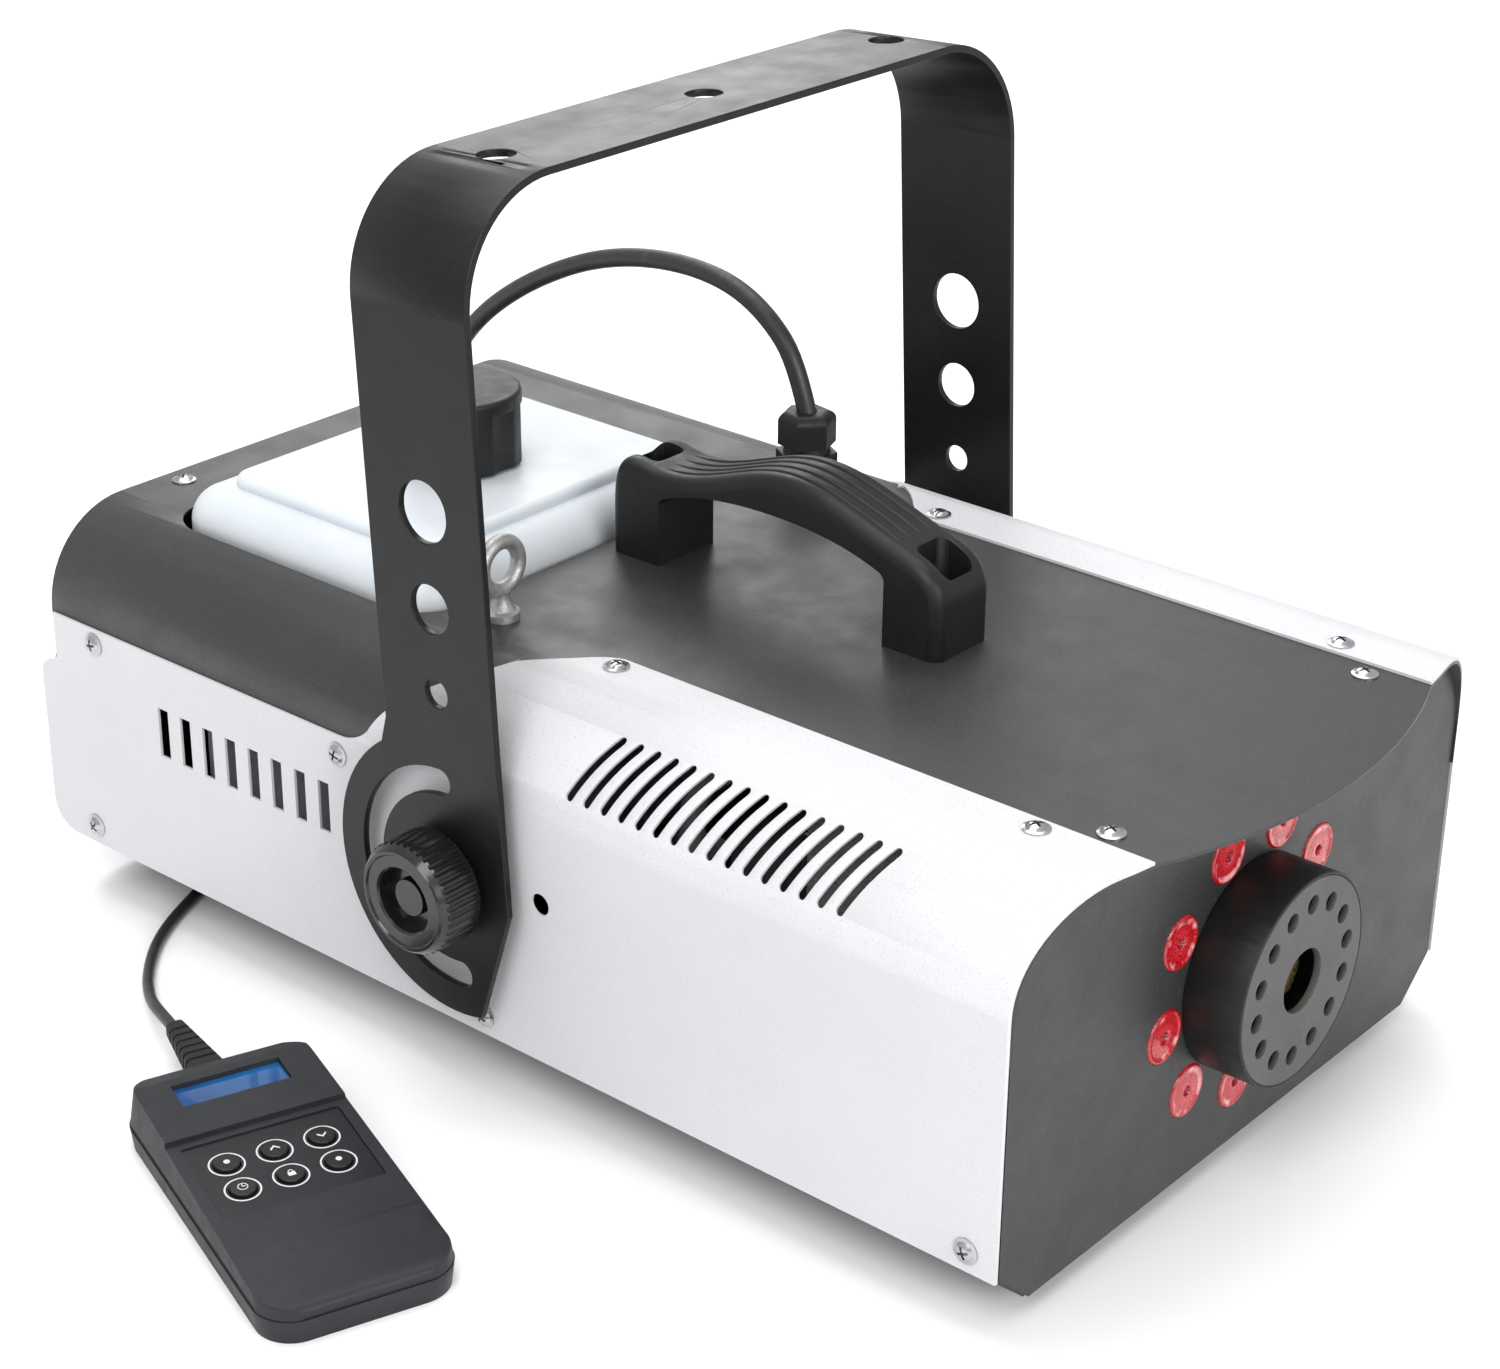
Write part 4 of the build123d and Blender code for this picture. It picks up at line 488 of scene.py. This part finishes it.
remote_turn = math.radians(-20.3)
case_low, case_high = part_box("remote_case_bottom")
case_centre = (case_low + case_high) / 2
remote_frame = (Matrix.Translation((case_centre.x, case_centre.y, 0))
                @ Matrix.Rotation(remote_turn, 4, "Z"))
boot_tip = remote_frame @ Vector((0, 97.5 * MM, 10.5 * MM))
boot_exit = tuple(c / MM for c in boot_tip)
remote_route = [
    boot_exit, (-172.2, 105.5, 8.6), (-164.5, 120.0, 4.6), (-151.5, 137.0, REMOTE_LAY),
    (-132.5, 153.5, REMOTE_LAY), (-106.0, 166.0, REMOTE_LAY), (-80.0, 176.0, REMOTE_LAY),
    (-50.0, 187.0, REMOTE_LAY), (-23.0, 204.0, REMOTE_LAY), (-5.0, 229.0, REMOTE_LAY),
    (-0.5, 250.0, REMOTE_LAY)]
remote_tail = [
    (-47.0, 292.5, 15.2), (-60.0, 292.0, 25.0), (-65.0, 291.0, 40.0), (-61.5, 287.0, 55.0),
    (-54.0, 277.5, 66.0), (-50.5, 264.0, 69.5), (-50.0, 250.0, 68.0)]
remote_cells = layered([30.0, 26.0, 22.0, 18.0, 14.0], 4, REMOTE_LAY, 4.05)
remote_coil = coil_points((-30.0, 262.0), remote_cells, 2, 90)
remote = cord_spline("controller_lead", remote_route + remote_coil + remote_tail, REMOTE_R)
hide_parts("remote_cord", "remote_coil")

# ------------------------------------------------------------------ glowing lenses
LENS_RADIUS = 8.8 * MM
LENS_COUNT = 9
plate_low, plate_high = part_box("nozzle_plate")
nozzle_x = (plate_low.x + plate_high.x) / 2
nozzle_z = (plate_low.z + plate_high.z) / 2
lens_low, lens_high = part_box("led_lenses")
lens_ring = nozzle_z - lens_low.z - LENS_RADIUS


def lens_part(x, z):
    """One lens: a shallow dome with a rolled rim and a hole in its middle."""
    place = frame_of((x, lens_low.y, z), (0, -1, 0))
    depth = lens_high.y - lens_low.y
    profile = [(0.0002, -4.0 * MM), (1.5 * MM, -3.6 * MM), (1.7 * MM, -0.5 * MM), (2.0 * MM, -0.1 * MM)]
    profile += [(r * MM, -(0.1 + 0.45 * (r / 8.0) ** 2) * MM) for r in (3.0, 4.5, 6.0, 7.2)]
    profile += [(7.6 * MM, -0.2 * MM), (8.0 * MM, 0), (8.5 * MM, -0.1 * MM), (LENS_RADIUS, -0.5 * MM),
                (LENS_RADIUS, -depth), (0.0002, -depth)]
    verts, faces = lathe(profile, 40, place)
    rings = [min(1.0, radius / LENS_RADIUS) for radius, height in profile for i in range(40)]
    return verts, faces, rings


def build_lenses():
    verts, faces, rings = [], [], []
    for i in range(LENS_COUNT):
        angle = math.radians(270 + 360 / LENS_COUNT * i)
        part = lens_part(nozzle_x + lens_ring * math.cos(angle), nozzle_z + lens_ring * math.sin(angle))
        offset = len(verts)
        verts += part[0]
        faces += [tuple(j + offset for j in face) for face in part[1]]
        rings += part[2]
    lenses = piece("light_lenses", verts, faces, LENS_RED, "housing")
    layer = lenses.data.attributes.new("ring", "FLOAT", "POINT")
    layer.data.foreach_set("value", rings)
    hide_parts("led_lenses")


build_lenses()


# ------------------------------------------------------------------- handle ribs
def surface_height(node, x, y, start=0.4):
    """Height of a CAD node's surface under a point, or None."""
    hit, place, normal, index = nodes[node].ray_cast(Vector((x, y, start)), Vector((0, 0, -1)))
    return place.z if hit else None


def build_handle_ribs():
    """Four low ribs along the arch of the handle."""
    low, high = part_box("handle")
    parts = []
    for x in (-7.5, -2.5, 2.5, 7.5):
        verts, faces = [], []
        steps = 40
        first, last = low.y + 20 * MM, high.y - 20 * MM
        for i in range(steps + 1):
            y = first + (last - first) * i / steps
            z = surface_height("handle", x * MM, y)
            fade = min(1.0, i / 3, (steps - i) / 3)
            for dx, dz in ((-1.1, -0.3), (-0.8, 0.35), (0, 0.55), (0.8, 0.35), (1.1, -0.3)):
                verts.append((x * MM + dx * MM, y, z + (dz if dz < 0 else dz * fade) * MM))
        for i in range(steps):
            for j in range(4):
                a = 5 * i + j
                faces.append((a, a + 1, a + 6, a + 5))
        parts.append((verts, faces))
    ribs = piece("handle_ribs", *join(parts), HANDLE_BLACK, "housing")


build_handle_ribs()


# --------------------------------------------------------------- controller prints
def build_keypad_marks():
    """White rings on the keypad sheet and a small mark on each key."""
    slope = math.radians(3.487)
    normal = remote_frame.to_3x3() @ Vector((0, -math.sin(slope), math.cos(slope)))
    along = remote_frame.to_3x3() @ Vector((1, 0, 0))
    rings = []
    lift = 0.04 * MM
    for name in ("menu", "up", "down", "timer", "lock", "manual"):
        low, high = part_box("button_" + name)
        centre = (low + high) / 2
        top = centre + Vector(normal) * (2.55 * MM + lift)
        sheet = centre + Vector(normal) * (1.45 * MM + lift)
        rings.append(ring_band(5.2 * MM, 5.75 * MM, 0.03 * MM, frame_of(sheet, normal, along)))
        place = frame_of(top, normal, along)
        thin = 0.03 * MM
        if name in ("menu", "manual"):
            mark = lathe([(0.0001, 0), (1.0 * MM, 0), (1.0 * MM, thin), (0.0001, thin)], 20, place)
        elif name in ("up", "down"):
            flip = 1 if name == "up" else -1
            outline = [(-1.5, -0.9), (0, 0.5), (1.5, -0.9), (1.5, -0.1), (0, 1.3), (-1.5, -0.1)]
            outline = [(x * MM, flip * y * MM) for x, y in outline]
            mark = slab(outline if flip > 0 else outline[::-1], thin, place)
        elif name == "timer":
            hands = [(-0.15, -0.1), (1.0, -0.1), (1.0, 0.2), (0.15, 0.2), (0.15, 1.1), (-0.15, 1.1)]
            mark = join([ring_band(1.35 * MM, 1.65 * MM, thin, place, 28),
                         slab([(x * MM, y * MM) for x, y in hands], thin, place)])
        else:
            body = [(-1.2, -1.5), (1.2, -1.5), (1.2, 0.2), (-1.2, 0.2)]
            shackle = [(-0.8, 0.2), (-0.8, 0.9), (-0.4, 1.4), (0.4, 1.4), (0.8, 0.9), (0.8, 0.2),
                       (0.5, 0.2), (0.5, 0.8), (0.25, 1.1), (-0.25, 1.1), (-0.5, 0.8), (-0.5, 0.2)]
            mark = join([slab([(x * MM, y * MM) for x, y in body], thin, place),
                         slab([(x * MM, y * MM) for x, y in shackle[::-1]], thin, place)])
        icon = piece("mark_" + name, *mark, PRINT_WHITE, "key_" + name, smooth=False)
    ring_piece = piece("key_rings", *join(rings), PRINT_WHITE, "housing", smooth=False)


build_keypad_marks()


# ----------------------------------------------------------- floor, light, backdrop
def add_stage():
    """A pale floor."""
    half = 6.0
    mesh = bpy.data.meshes.new("floor")
    corners = [(-half, -half, 0), (half, -half, 0), (half, half, 0), (-half, half, 0)]
    mesh.from_pydata(corners, [], [(0, 1, 2, 3)])
    floor = bpy.data.objects.new("floor", mesh)
    bpy.context.scene.collection.objects.link(floor)
    n = Nodes("floor_paint")
    shade = n.span(n.noise(3, 3.0), 0.3, 0.7)
    mesh.materials.append(n.set(Base_Color=n.mix(shade, (0.86, 0.86, 0.865), (0.89, 0.89, 0.895)), Roughness=0.6))


def add_light(name, place, target, size, power, colour=(1, 1, 1)):
    data = bpy.data.lights.new(name, "AREA")
    data.shape = "RECTANGLE"
    data.size, data.size_y = size
    data.energy = power
    data.color = colour
    light = bpy.data.objects.new(name, data)
    bpy.context.scene.collection.objects.link(light)
    light.matrix_world = frame_of(place, Vector(place) - Vector(target))
    return light


add_stage()
world = bpy.data.worlds.new("studio")
world.use_nodes = True
world.node_tree.nodes["Background"].inputs["Color"].default_value = (0.93, 0.94, 0.96, 1)
world.node_tree.nodes["Background"].inputs["Strength"].default_value = 0.75
bpy.context.scene.world = world
machine = (0, 0, 0.1)
add_light("key", (-1.5, -0.5, 1.7), machine, (1.4, 1.0), 24)
add_light("front", (-0.6, -1.9, 0.9), machine, (1.2, 0.8), 22)
add_light("top", (0.2, 0.4, 2.0), machine, (1.8, 1.4), 26)
add_light("rim", (1.3, 1.3, 1.1), machine, (0.8, 0.8), 8)
bpy.context.scene.view_settings.view_transform = "Standard"
